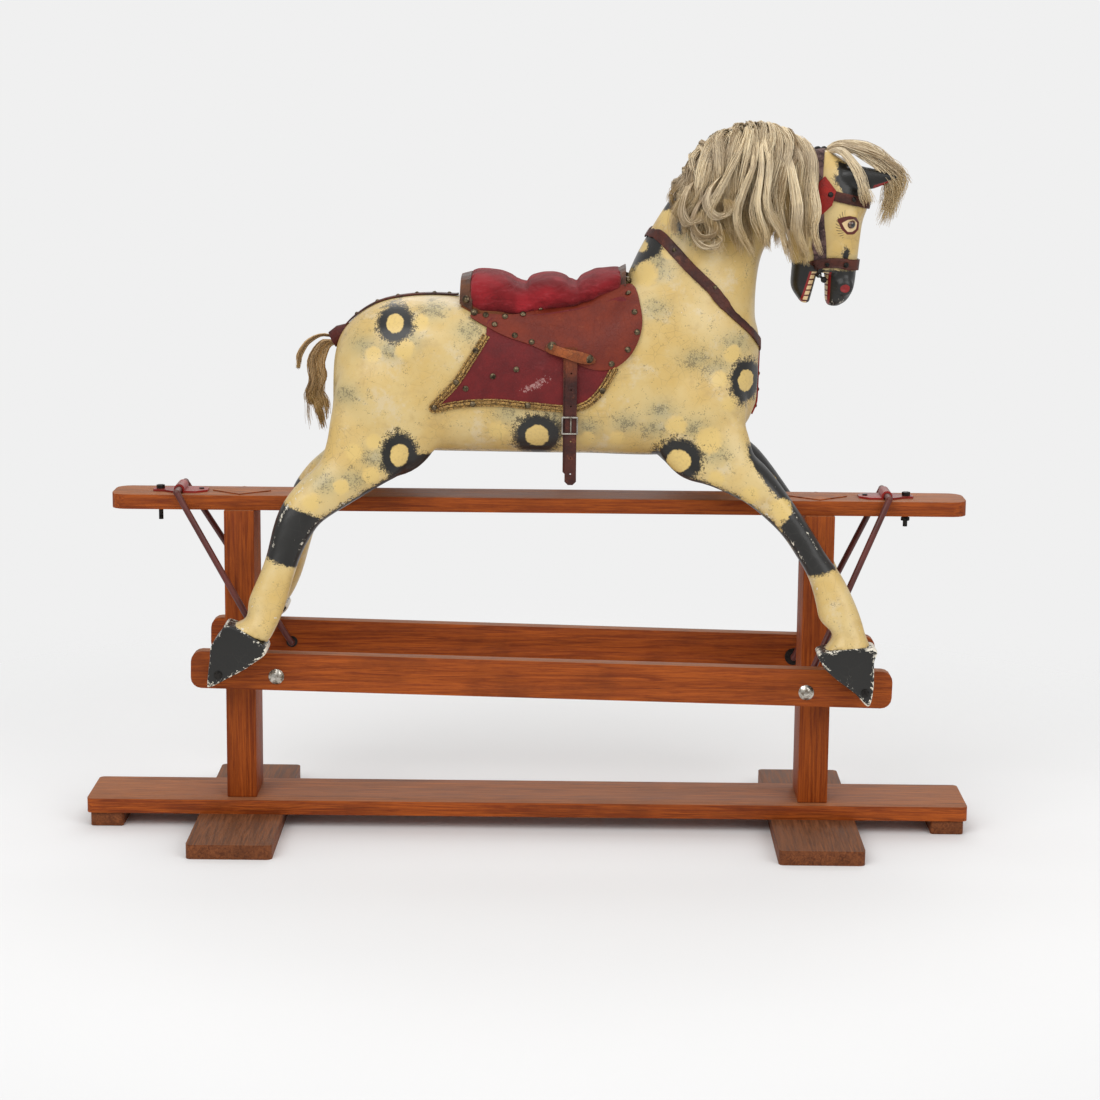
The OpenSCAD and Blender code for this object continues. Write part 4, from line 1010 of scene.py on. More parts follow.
def build_finishes(settings):
    """Every finish, under the name that the pieces ask for."""
    build_groups()
    amber, umber, grey = (0.69, 0.34, 0.11), (0.49, 0.20, 0.05), (0.72, 0.48, 0.32)
    for along in "xyz":
        FINISH["timber_" + along] = timber("stained_timber_" + along, amber, umber, grey, along, 0.75)
        FINISH["old_timber_" + along] = timber(
            "weathered_timber_" + along, (0.54, 0.31, 0.17), (0.35, 0.18, 0.09), (0.54, 0.35, 0.23), along,
            0.8)
    FINISH["iron"] = painted_metal("maroon_iron", (0.40, 0.16, 0.13), (0.20, 0.12, 0.10), 0.35, 0.3)
    FINISH["bracket"] = painted_metal("red_enamel", (0.62, 0.13, 0.10), (0.16, 0.09, 0.08), 0.25, 0.24)
    FINISH["steel"] = bare_metal("blackened_steel", (0.20, 0.19, 0.18), (0.09, 0.08, 0.075), 0.4, 0.8)
    FINISH["nickel"] = bare_metal("worn_nickel", (0.78, 0.76, 0.72), (0.42, 0.37, 0.31), 0.22, 1.0)
    FINISH["brass"] = bare_metal("old_brass_nails", (0.46, 0.40, 0.31), (0.20, 0.17, 0.13), 0.3, 0.9)
    FINISH["horse"] = horse_paint("dapple_paint", settings, False)
    FINISH["head"] = horse_paint("head_paint", settings, True)
    FINISH["hoof"] = horse_paint("hoof_paint", settings, False, 1.3)
    FINISH["flap"] = leather(
        "brown_saddle_leather", (0.48, 0.18, 0.10), (0.41, 0.135, 0.075), (0.53, 0.25, 0.15), 0.45,
        crack=0.08)
    FINISH["band"] = leather("dark_band_leather", (0.42, 0.26, 0.17), (0.24, 0.15, 0.11), (0.55, 0.34, 0.20),
                             0.42)
    FINISH["strap"] = leather(
        "purple_brown_leather", (0.36, 0.18, 0.13), (0.22, 0.11, 0.09), (0.50, 0.28, 0.18), 0.4, crack=0.3)
    FINISH["tan"] = leather("tan_leather", (0.62, 0.33, 0.16), (0.38, 0.19, 0.10), (0.78, 0.50, 0.28), 0.4)
    FINISH["stirrup"] = leather(
        "stirrup_leather", (0.32, 0.155, 0.12), (0.21, 0.095, 0.08), (0.52, 0.29, 0.18), 0.4, crack=0.3,
        upper=((0.50, 0.24, 0.12), *(float(to_row([[0, 0, z]])[0][2]) for z in (448, 484))))
    FINISH["dock"] = leather("dock_leather", (0.34, 0.12, 0.09), (0.22, 0.07, 0.06), (0.42, 0.18, 0.12), 0.4)
    FINISH["cloth"] = leather(
        "dark_red_oilcloth", (0.45, 0.115, 0.12), (0.37, 0.075, 0.085), (0.52, 0.20, 0.20), 0.5, 900.0, 0.1)
    FINISH["red"] = leather(
        "red_leather", (0.62, 0.13, 0.09), (0.46, 0.08, 0.06), (0.68, 0.24, 0.16), 0.42, crack=0.2)
    FINISH["mottled"] = leather(
        "mottled_webbing", (0.50, 0.39, 0.37), (0.17, 0.10, 0.11), (0.64, 0.53, 0.50), 0.6, 300.0, 0.8)
    FINISH["seat"] = seat_weave("red_seat_cotton", (0.60, 0.12, 0.15), (0.44, 0.07, 0.09), (0.64, 0.24, 0.26))
    FINISH["braid"] = braid_finish("gold_braid")
    FINISH["hair"] = hair_finish("blond_hair", (0.98, 0.91, 0.77), (0.62, 0.52, 0.38), (0.78, 0.71, 0.61))
    FINISH["tail_hair"] = hair_finish("tail_hair", (0.86, 0.73, 0.54), (0.54, 0.42, 0.28), (0.68, 0.58, 0.45))
    FINISH["eye"] = glass_eye("glass_eye")


# ------------------------------------------------------------------ shared making

MADE = {}


def wrapped(obj, ground, lift):
    """Draws a surface onto the ground it lies on and holds it a little above."""
    draw = obj.modifiers.new("lay", "SHRINKWRAP")
    draw.target = ground
    draw.wrap_method = "NEAREST_SURFACEPOINT"
    draw.wrap_mode = "ABOVE_SURFACE"
    draw.offset = lift
    return finished(obj)


def thickened(obj, thickness, bevel=0.0, offset=1.0):
    """Gives a surface its thickness and eases its edges."""
    wall = obj.modifiers.new("thickness", "SOLIDIFY")
    wall.thickness = thickness
    wall.offset = offset
    if bevel:
        ease = obj.modifiers.new("ease", "BEVEL")
        ease.width = bevel
        ease.segments = 2
        ease.limit_method = "ANGLE"
        ease.angle_limit = math.radians(50)
    return finished(obj)


def outward(obj):
    """Merges doubled points and turns every face of a closed mesh outwards."""
    work = bmesh.new()
    work.from_mesh(obj.data)
    bmesh.ops.remove_doubles(work, verts=work.verts, dist=1e-6)
    bmesh.ops.recalc_face_normals(work, faces=work.faces)
    work.to_mesh(obj.data)
    work.free()
    return obj


def patch(outline, count, rings, side, depth):
    """Fills a side-view outline with rings drawn towards its middle; y is one depth for all.

    point = middle + share * (outline - middle), for shares from 1 down to 0."""
    edge = smooth_path(np.asarray(outline, float)[:, None, :].transpose(1, 0, 2), count, closed=True)[0]
    middle = edge.mean(0)
    share = np.linspace(1, 0, rings, endpoint=False) ** 0.8
    flat = middle + share[:, None, None] * (edge - middle)
    points = np.concatenate([flat.reshape(-1, 2), middle[None]])
    full = np.stack([points[:, 0], np.full(len(points), side * depth), points[:, 1]], -1)
    quads = grid_faces(rings, count, True)
    last = (rings - 1) * count + np.arange(count)
    fan = np.stack([last, np.roll(last, -1), np.full(count, rings * count)], -1)
    faces = [quads, fan]
    a, b, c = (full[quads[0, k]] for k in (0, 1, 2))
    if np.cross(b - a, c - a)[1] * side < 0:
        faces = [f[:, ::-1] for f in faces]
    return full, faces, edge


def struck(tree, start, direction):
    """Where a line from a point in the horse's millimetres first strikes; place and normal, in metres."""
    hit, normal, _, _ = tree.ray_cast(Vector(to_row([start])[0]), Vector(direction))
    if hit is None:
        raise RuntimeError(f"nothing lies before the point {start}")
    return np.array(hit), np.array(normal)


def ray_ground(tree, x, z, side):
    """The same for a line straight in from one side."""
    return struck(tree, (x, side * 400.0, z), (0, -side, 0))


def tree_of(obj):
    """A search tree over a mesh, for lines to strike."""
    return BVHTree.FromObject(obj, bpy.context.evaluated_depsgraph_get())


NAIL_PROFILE = np.array([(1.0, -0.15), (1.0, 0.05), (0.93, 0.16), (0.82, 0.2), (0.7, 0.34), (0.48, 0.5),
                         (0.24, 0.58)])


def nail_heads(places, normals, radius, sides=14):
    """Domed heads with a rolled rim: one profile turned about each nail's own axis."""
    places, normals = np.asarray(places, float), np.asarray(normals, float)
    across = np.cross(normals, [0.0, 0.0, 1.0]) + 1e-6
    across /= np.linalg.norm(across, axis=1, keepdims=True)
    over = np.cross(normals, across)
    angle = np.linspace(0, 2 * np.pi, sides, endpoint=False)
    turn = (across[:, None] * np.cos(angle)[None, :, None] + over[:, None] * np.sin(angle)[None, :, None])
    r, h = NAIL_PROFILE[:, 0] * radius, NAIL_PROFILE[:, 1] * radius
    rings = (places[:, None, None] + turn[:, None] * r[None, :, None, None]
             + normals[:, None, None] * h[None, :, None, None])
    return [closed_loft(head) for head in rings]


# ------------------------------------------------------------------ settings

def tint(label, about, rgb):
    """A colour setting."""
    return FloatVectorProperty(name=label, description=about, default=rgb, subtype="COLOR", min=0, max=1)


class HorseSettings(bpy.types.PropertyGroup):
    """Colours and sizes of the horse and its tack."""

    cream: tint("Cream", "Ground colour of the horse", (0.84, 0.74, 0.51))
    straw: tint("Straw", "Yellower passages of the ground colour", (0.82, 0.69, 0.41))
    stain: tint("Stain", "Brown bloom over the ground colour", (0.72, 0.60, 0.38))
    bloom: tint("Bloom", "Pale rubbed varnish", (0.84, 0.78, 0.66))
    haze: tint("Haze", "Greenish haze under the stipple", (0.62, 0.60, 0.47))
    speckle: tint("Speckle", "Small dull marks", (0.62, 0.54, 0.38))
    grey: tint("Grey", "Stippled grey", (0.25, 0.24, 0.20))
    black: tint("Black", "Dapple rings, socks and hooves", (0.105, 0.10, 0.09))
    lash: tint("Lash", "Fine brown eyelashes", (0.22, 0.16, 0.10))
    spot: tint("Spot", "Bare spots inside and between the rings", (0.87, 0.75, 0.46))
    gesso: tint("Gesso", "White ground showing at chips", (0.90, 0.87, 0.80))
    mouth: tint("Mouth", "Lips, nostrils and ear linings", (0.55, 0.10, 0.10))
    eyelid: tint("Eyelid", "Painted almond round the eye", (0.36, 0.10, 0.07))
    eye_white: tint("Eye white", "Cream round the glass", (0.92, 0.80, 0.60))
    skin_voxel: FloatProperty(name="Body mesh", description="Mesh size of the body", default=0.0046,
                              unit="LENGTH")
    head_voxel: FloatProperty(name="Head mesh", description="Mesh size of the head", default=0.0026,
                              unit="LENGTH")
    mane_strands: IntProperty(name="Mane strands", description="Strands in each mane layer", default=2300)
    tail_strands: IntProperty(name="Tail strands", description="Strands in the tail", default=700)
    strand_radius: FloatProperty(name="Strand", description="Strand radius", default=0.0007, unit="LENGTH")
    nail_radius: FloatProperty(name="Nail", description="Radius of the saddle nails", default=0.0044,
                               unit="LENGTH")
    seed: IntProperty(name="Seed", description="Start of every random draw", default=7)


def settings_of(context):
    """The scene's own settings."""
    return getattr(context.scene, PROPERTY_NAME)


# ------------------------------------------------------------------ operators

class HORSE_OT_finishes(bpy.types.Operator):
    """Makes every finish"""

    bl_idname = "horse.finishes"
    bl_label = "Finishes"

    def execute(self, context):
        build_finishes(settings_of(context))
        return {"FINISHED"}


class HORSE_OT_body(bpy.types.Operator):
    """Carves the body, neck and legs as one painted skin"""

    bl_idname = "horse.body"
    bl_label = "Body"

    def execute(self, context):
        settings = settings_of(context)
        body = blended(joined("horse_body", body_shapes()), settings.skin_voxel, 10)
        MADE["body"] = body
        paint_body(body)
        ridden(body, "horse", "horse_paint", FINISH["horse"], "barrel", "neck",
               "right_fore_leg", "left_fore_leg", "right_hind_leg", "left_hind_leg")
        x, top, half = smooth_path(BLOCK, 24).T
        block = carved(upright_rings(x, BLOCK_LOW, top, half, 3, 40))
        shapes = body_shapes() + head_shapes() + [block]
        MADE["ground"] = blended(joined("saddle_ground", shapes), settings.skin_voxel, 8)
        return {"FINISHED"}


class HORSE_OT_hooves(bpy.types.Operator):
    """Cuts the four hooves with eased arrises"""

    bl_idname = "horse.hooves"
    bl_label = "Hooves"

    def execute(self, context):
        for name, outline in (("hind", HIND_HOOF), ("fore", FORE_HOOF)):
            for side, word in ((-1, "right"), (1, "left")):
                points, faces, edge = patch(outline, 64, 6, side, HOOF_IN)
                hoof = make_object(f"{word}_{name}_hoof", to_row(points), faces)
                thickened(hoof, (HOOF_OUT - HOOF_IN) * MM, 0.003)
                outward(hoof)
                spots = to_horse(places_of(hoof.data))
                rim = np.clip(1.15 - inside(spots[:, [0, 2]], edge) / 8, 0, 1)
                broken = 0.45 + 0.55 * np.sin(spots[:, 0] * 0.23 + spots[:, 2] * 0.31) ** 2
                hind_toe = spots[:, 2] < 62 + (spots[:, 0] + 403) * 0.72
                toe = spots[:, 0] > 468 if name == "fore" else hind_toe
                mark_paint(hoof, worn=rim * broken * np.where(toe, 1.15, 0.75))
                ridden(hoof, "horse", "horse_paint", FINISH["hoof"])
        return {"FINISHED"}


class HORSE_OT_head(bpy.types.Operator):
    """Carves the head with its open jaws and pricked ears, and sets its glass eyes"""

    bl_idname = "horse.head"
    bl_label = "Head"

    def execute(self, context):
        settings = settings_of(context)
        shapes = head_shapes() + [carved(ear_rings(side)) for side in (-1, 1)]
        head = blended(joined("horse_head", shapes), settings.head_voxel, 7)
        self.carve(head)
        paint_head(head)
        ridden(head, "horse", "horse_paint", FINISH["head"], "head", "right_ear", "left_ear")
        self.eyes(tree_of(head))
        return {"FINISHED"}

    def carve(self, head):
        """Sinks the nostrils, the eye sockets and the cheek line, and raises the rims of the lids: a point
        moves along its normal by a Gaussian.
        """
        points = places_of(head.data)
        local = to_horse(points)
        normals = normals_of(head.data)
        side = np.abs(local[:, 1])
        flat = local[:, [0, 2]]
        x, z = flat.T
        nostril = np.exp(-((x - NOSTRIL[0]) / 5) ** 2 - ((z - NOSTRIL[1]) / 4) ** 2) * (side > 18)
        lid = np.exp(-(inside(flat, ALMOND) / 2.5) ** 2) * (side > 25) * (x > 405)
        socket = np.exp(-np.hypot(x - 434, z - 685) ** 2 / 90) * (side > 25)
        cheek = np.exp(-distance_to_line(flat, CHEEK_LINE) ** 2 / 40) * (side > 20)
        shift = -4.0 * nostril + 1.0 * lid - 1.5 * socket - 1.2 * cheek
        set_places(head.data, points + normals * (shift * MM)[:, None])

    def eyes(self, tree):
        """Half-round glass in each socket, a brass-brown iris round a dark pupil."""
        shapes, rims = [], []
        for side in (-1, 1):
            hit, normal = ray_ground(tree, *EYE_PLACE, side)
            lift = np.linspace(0.02, np.pi / 2, 12)
            radius = EYE_RADIUS * MM
            across = np.cross(normal, [0.0, 0.0, 1.0])
            across /= np.linalg.norm(across)
            over = np.cross(normal, across)
            middle = hit - normal * EYE_SINK * MM + np.cos(lift)[:, None] * normal * radius
            spread = np.sin(lift)[:, None]
            rings = oval(middle, spread * across * radius, spread * over * radius, 2, 24)
            shapes.append(closed_loft(rings[::-1]))
            rims.append(np.concatenate([np.repeat(np.sin(lift)[::-1], 24), [1.0, 0.0]]))
        eyes = joined("glass_eyes", shapes)
        mark(eyes, "rim", np.concatenate(rims))
        outward(eyes)
        ridden(eyes, "horse", "eye_paint", FINISH["eye"], "eyes")


# ------------------------------------------------------------------ tack

CLOTH = [
    (-92, 536), (-97, 512), (-116, 480), (-137, 445), (-173, 404), (-145, 411), (-116, 416),
    (-76, 418), (-29, 415), (23, 411), (48, 415), (66, 428), (80, 447), (94, 480), (112, 505),
    (116, 540), (104, 572), (60, 560), (0, 548), (-60, 540),
]
FLAP = [
    (-120, 540), (-92, 524), (-64, 512), (-36, 504), (-9, 494), (30, 480), (62, 470), (90, 472),
    (112, 488), (125, 510), (131, 536), (128, 562), (118, 588), (92, 588), (58, 574), (30, 564),
    (0, 556), (-30, 548), (-60, 543), (-92, 544),
]
BRAID = [
    (-94, 522), (-106, 498), (-121, 472), (-139, 443), (-171, 405), (-145, 410), (-116, 415), (-76, 417),
    (-29, 414), (23, 411), (48, 415), (66, 428), (80, 447), (94, 474),
]
FLAP_NAILS = [
    (-97, 540), (-69, 539), (-43, 542), (-18, 549), (15, 560), (47, 569), (79, 581), (112, 575), (120, 552),
    (124, 525), (111, 500), (88, 479), (-84, 527), (-54, 513), (-29, 505),
]
CLOTH_NAILS = [(-50, 467), (-84, 456), (-123, 437)]
BRAID_NAILS = [(-110, 492), (-137, 446), (-168, 408), (-112, 415), (-32, 415), (76, 440)]
BAND_NAILS = [(-125, 562), (-114, 543), (107, 592)]
BREAST = [(128, 0, 664), (136, 30, 668), (150, 62, 664), (196, 92, 624), (244, 94, 584), (282, 76, 543),
          (306, 40, 512), (313, 0, 500)]
CRUPPER = [(-306, 500), (-300, 520), (-280, 538), (-250, 554), (-215, 560), (-180, 561), (-140, 561)]
CHEST = [(312, 492), (313, 470), (311, 445), (308, 420), (300, 398)]
CRUPPER_NAILS = [(-292, 540), (-262, 556), (-232, 566), (-204, 568), (-178, 568), (-156, 568)]
CHEST_NAIL_HEIGHTS = (412, 436, 460)
BREAST_NAILS = [(176, 642), (236, 591)]
# Width and lift of the harness straps, then of the bridle's.
HARNESS_WIDTH, HARNESS_LIFT = 17, 0.8
BRIDLE_WIDTH, BRIDLE_LIFT = 15, 1.6
BROWBAND = [
    (392, -56, 731), (424, -52, 724), (452, -34, 718), (468, 0, 714), (452, 34, 718), (424, 52, 724),
    (392, 56, 731),
]
CHEEK_STRAP = [
    (391, -44, 628), (389, -52, 655), (383, -56, 700), (379, -54, 740), (380, -44, 775), (383, -16, 802),
    (383, 16, 802), (380, 44, 775), (379, 54, 740), (383, 56, 700), (389, 52, 655), (391, 44, 628),
]
DIAMOND = [(391, 758), (409, 736), (404, 714), (389, 699), (370, 716), (374, 740)]
# Place and radius of each stud on a side of the head, then of the knobs on its crown.
BRIDLE_STUDS = [((401, 729), 0.0044), ((434, 723), 0.0036), ((429, 626), 0.004), ((402, 627), 0.0034)]
CROWN_KNOBS = [(382, 0.0068), (391, 0.005)]
KEEPER_REAR, KEEPER_FRONT = (-8, 501), (64, 483)
KEEPER_NAILS = [(1, 499), (55, 485)]
# Places, lift and share of the usual radius of each run of saddle nails.
SADDLE_NAILS = [
    (FLAP_NAILS, 5.4, 1), (CLOTH_NAILS, 3.4, 1), (BRAID_NAILS, 5.6, 1), (BAND_NAILS, 6.0, 1.25),
    (KEEPER_NAILS, 11.0, 1.5),
]
SEAT_TOP = np.array([
    (-122, 604), (-108, 604), (-92, 601), (-74, 595), (-60, 588), (-51, 583), (-47, 581), (-43, 583),
    (-33, 589), (-16, 594), (2, 595), (15, 592), (24, 587), (29, 585), (34, 587), (44, 593), (60, 601),
    (78, 610), (96, 617),
], float)
TUFTS = (-47, 29)
# The furthest that stuffing moves the seat's cover, in metres.
SWELL_CAP = 0.006


def laid_grid(path, across, width, columns, ground, lift):
    """A strip along a path, its rows read across it, drawn onto the ground; returns its points in metres.

    row = path + share * width * across, for shares from -1/2 to 1/2."""
    share = np.linspace(-0.5, 0.5, columns)
    grid = path[:, None] + across[:, None] * (share * width)[None, :, None]
    strip = make_object("mould", to_row(grid.reshape(-1, 3)), [grid_faces(len(path), columns)])
    wrapped(strip, ground, lift * MM)
    points = places_of(strip.data).reshape(len(path), columns, 3)
    bpy.data.objects.remove(strip)
    return points


def strap_piece(name, path, across, width, ground, lift, thickness, finish, nodes=()):
    """A leather strap with eased edges, laid along a path on the ground."""
    points = laid_grid(path, across, width, 5, ground, lift)
    strap = make_object(name, points.reshape(-1, 3), [grid_faces(len(path), 5)])
    turned_out(strap)
    thickened(strap, thickness * MM, 0.0007)
    return ridden(strap, "horse", "strap_leather", FINISH[finish], *nodes)


def turned_out(obj):
    """Flips an open surface whose faces look towards the horse's middle line instead of away from it."""
    points, normals = to_horse(places_of(obj.data)), normals_of(obj.data) @ HORSE_TURN.T
    away = points.copy()
    away[:, 0] *= 0.05
    away[:, 2] -= 440 if points[:, 2].mean() < 600 else 690
    if np.einsum("ij,ij->i", away, normals).sum() < 0:
        obj.data.flip_normals()


def flat_across(path):
    """Direction square to a path within the side view."""
    along = np.gradient(path, axis=0)
    across = np.stack([-along[:, 2], np.zeros(len(path)), along[:, 0]], -1)
    return across / (np.linalg.norm(across, axis=1, keepdims=True) + 1e-9)


class HORSE_OT_saddle(bpy.types.Operator):
    """Lays the saddle cloth and flaps, with their braid, keepers and nails"""

    bl_idname = "horse.saddle"
    bl_label = "Saddle"

    def execute(self, context):
        ground = MADE["ground"]
        tree = tree_of(ground)
        radius = settings_of(context).nail_radius
        nails = []
        for side, word in ((-1, "right"), (1, "left")):
            self.sheet(tree, f"{word}_saddle_cloth_cover", CLOTH, side, 0.6, 2.0, "cloth", "red_leather",
                       f"{word}_saddle_cloth")
            self.sheet(tree, f"{word}_saddle_flap_cover", FLAP, side, 2.9, 2.0, "flap", "brown_leather",
                       f"{word}_saddle_flap")
            self.braid(word, side, ground)
            self.keeper(word, side, tree)
            for places, lift, share in SADDLE_NAILS:
                nails += self.nails(tree, places, side, lift, radius * share)
        heads = joined("saddle_nail_heads", nails)
        ridden(heads, "horse", "antique_brass", FINISH["brass"], "saddle_nails")
        return {"FINISHED"}

    def sheet(self, tree, name, outline, side, lift, thickness, finish, slot, node):
        """Leather laid straight in from the side, its depth smoothed as stiff hide smooths a hollow."""
        count, rings = 160, 16
        points, faces, _ = patch(outline, count, rings, side, 124)
        hits = np.array([ray_ground(tree, x, z, side)[0] for x, _, z in points])
        depth = np.abs(to_horse(hits)[:, 1])
        grid = depth[:-1].reshape(rings, count)
        for _ in range(14):
            inner = np.concatenate([grid[1:], np.full((1, count), grid[-1].mean())])
            outer = np.concatenate([grid[:1], grid[:-1]])
            relaxed = 0.4 * grid + 0.15 * (np.roll(grid, 1, 1) + np.roll(grid, -1, 1) + inner + outer)
            grid = np.maximum(relaxed, depth[:-1].reshape(rings, count))
        points[:, 1] = side * (np.append(grid.ravel(), grid[-1].mean()) + lift)
        cover = make_object(name, to_row(points), faces)
        thickened(cover, thickness * MM, 0.0006)
        local = to_horse(places_of(cover.data))
        rise = local[:, 2] - 446 - 0.45 * (local[:, 0] + 20)
        scuff = np.exp(-((local[:, 0] + 20) / 24) ** 2 - (rise / 8) ** 2) * (finish == "cloth")
        mark(cover, "scuff", 1.35 * scuff)
        ridden(cover, "horse", slot, FINISH[finish], node)

    def nails(self, tree, places, side, lift, radius):
        """Nail heads over places of the side view, each square to what it is driven in."""
        hits = [ray_ground(tree, x, z, side) for x, z in places]
        spots = np.array([hit + normal * lift * MM for hit, normal in hits])
        return nail_heads(spots, np.array([normal for _, normal in hits]), radius)

    def braid(self, word, side, ground):
        """Two fine cords with a looser twisted one between them, along the cloth's edge."""
        flat = smooth_path(np.array(BRAID, float), 420)
        path = np.stack([flat[:, 0], np.full(len(flat), side * 126.0), flat[:, 1]], -1)
        grid = laid_grid(path, flat_across(path), 9.0, 3, ground, 3.2)
        lines = []
        for column, count, reach, turns in ((0, 2, 0.9, 95), (1, 3, 1.6, 60), (2, 2, 0.9, 95)):
            centre = grid[:, column]
            along = np.gradient(centre, axis=0)
            along /= np.linalg.norm(along, axis=1, keepdims=True) + 1e-12
            out = np.tile([[0.0, side, 0.0]], (len(centre), 1))
            over = np.cross(along, out)
            phase = np.linspace(0, 2 * np.pi * turns, len(centre))
            for k in range(count):
                a = phase + 2 * np.pi * k / count
                offset = over * np.cos(a)[:, None] + out * np.sin(a)[:, None]
                lines.append((centre + offset * reach * MM, 1.15 if column == 1 else 0.8))
        shapes = [tubes(line[None], np.full((1, 1), radius * MM), 6) for line, radius in lines]
        ridden(joined(f"{word}_gold_braid", shapes), "horse", "red_leather", FINISH["braid"])

    def keeper(self, word, side, tree):
        """A strip nailed at both ends that swells out over the strap: depth = rest + swell * smooth bump."""
        share = np.linspace(0, 1, 49)
        line = np.outer(1 - share, KEEPER_REAR) + np.outer(share, KEEPER_FRONT)
        ends = [ray_ground(tree, *place, side)[0] for place in (KEEPER_REAR, KEEPER_FRONT)]
        rest = [abs(to_horse(end[None])[0, 1]) + 6.0 for end in ends]
        bump = np.clip((0.5 - np.abs(share - 0.5)) / 0.32, 0, 1)
        bump = bump * bump * (3 - 2 * bump)
        depth = rest[0] * (1 - share) + rest[1] * share
        depth = depth + (128.6 - depth) * bump
        half = 7.2 * np.sqrt(np.clip(1 - (np.abs(share - 0.5) / 0.5) ** 8, 0.03, 1)) + 0.8 * np.cos(share * 9)
        over = np.array([0.24, 0.97])
        rows = np.linspace(-1, 1, 7)
        flat = line[:, None] + (half[:, None] * rows)[:, :, None] * over
        sag = 0.7 * (1 - rows ** 2)
        points = np.stack([flat[..., 0], side * (depth[:, None] + sag), flat[..., 1]], -1)
        keeper = make_object(f"{word}_keeper", to_row(points.reshape(-1, 3)), [grid_faces(49, 7)])
        turned_out(keeper)
        thickened(keeper, 0.0024, 0.0006)
        ridden(keeper, "horse", "tan_leather", FINISH["tan"], f"{word}_stirrup_loop")


class HORSE_OT_seat(bpy.types.Operator):
    """Stuffs the red seat and ties it down in two creases"""

    bl_idname = "horse.seat"
    bl_label = "Seat"

    def execute(self, context):
        x = np.linspace(-119, 97, 60)
        top = np.interp(x, SEAT_TOP[:, 0], SEAT_TOP[:, 1])
        flap_edge = np.interp(x, [-120, -92, -60, -30, 0, 30, 58, 100],
                              [538, 540, 541, 546, 554, 562, 572, 590])
        low = flap_edge - 10
        half = np.interp(x, BLOCK[:, 0], BLOCK[:, 2]) + 4.5
        rings = upright_rings(x, low, top, half - 3.0, 2.9, 72, inset=2.5)
        seat = joined("red_seat_pad", [carved(rings)])
        blended(seat, 0.0045, 2)
        self.swell(seat)
        smooth = seat.modifiers.new("finer", "SUBSURF")
        smooth.levels = smooth.render_levels = 1
        finished(seat)
        self.crease(seat)
        ridden(seat, "horse", "seat_cloth", FINISH["seat"], "seat")
        return {"FINISHED"}

    def swell(self, seat):
        """Blows the pad up as stuffed cloth, no point moving further than a cap."""
        scene = bpy.context.scene
        rest = places_of(seat.data)
        cloth = seat.modifiers.new("stuffing", "CLOTH")
        cloth.settings.use_pressure = True
        cloth.settings.uniform_pressure_force = 4.0
        cloth.settings.effector_weights.gravity = 0
        cloth.settings.tension_stiffness = 20
        for step in range(1, 15):
            scene.frame_set(step)
        finished(seat)
        scene.frame_set(1)
        moved = places_of(seat.data) - rest
        length = np.linalg.norm(moved, axis=1, keepdims=True)
        set_places(seat.data, rest + moved * np.minimum(1, SWELL_CAP / (length + 1e-9)))

    def crease(self, seat):
        """Each tie-down is a sharp valley across the seat, with folds that run down from it and fade."""
        points = places_of(seat.data)
        x, y, z = to_horse(points).T
        normals = normals_of(seat.data)
        drop = np.clip((600 - z) / 40, 0, 1)
        sink = np.zeros(len(points))
        for place in TUFTS:
            lean = place + 14 * drop
            sink += 6.0 * np.exp(-np.abs(x - lean) / 5.5) * (1 - 0.6 * drop)
            for spread, depth in ((0.9, 1.9), (-1.1, 1.7), (2.0, 1.2), (-2.3, 1.2), (3.6, 0.9)):
                fold = np.abs(x - place - spread * (594 - z))
                press = depth * np.exp(-(fold / 3.5) ** 2) * np.clip((596 - z) / 12, 0, 1)
                sink += press * (1 - 0.7 * drop)
        ripple = np.sin(x * 0.21 + 2 * np.sin(y * 0.07)) * np.sin(z * 0.17 + y * 0.05)
        seam = np.exp(-((z - 566 - 0.04 * x) / 2.0) ** 2) * (x < -20)
        set_places(seat.data, points - normals * ((sink + 0.4 * ripple + 0.9 * seam) * MM)[:, None])


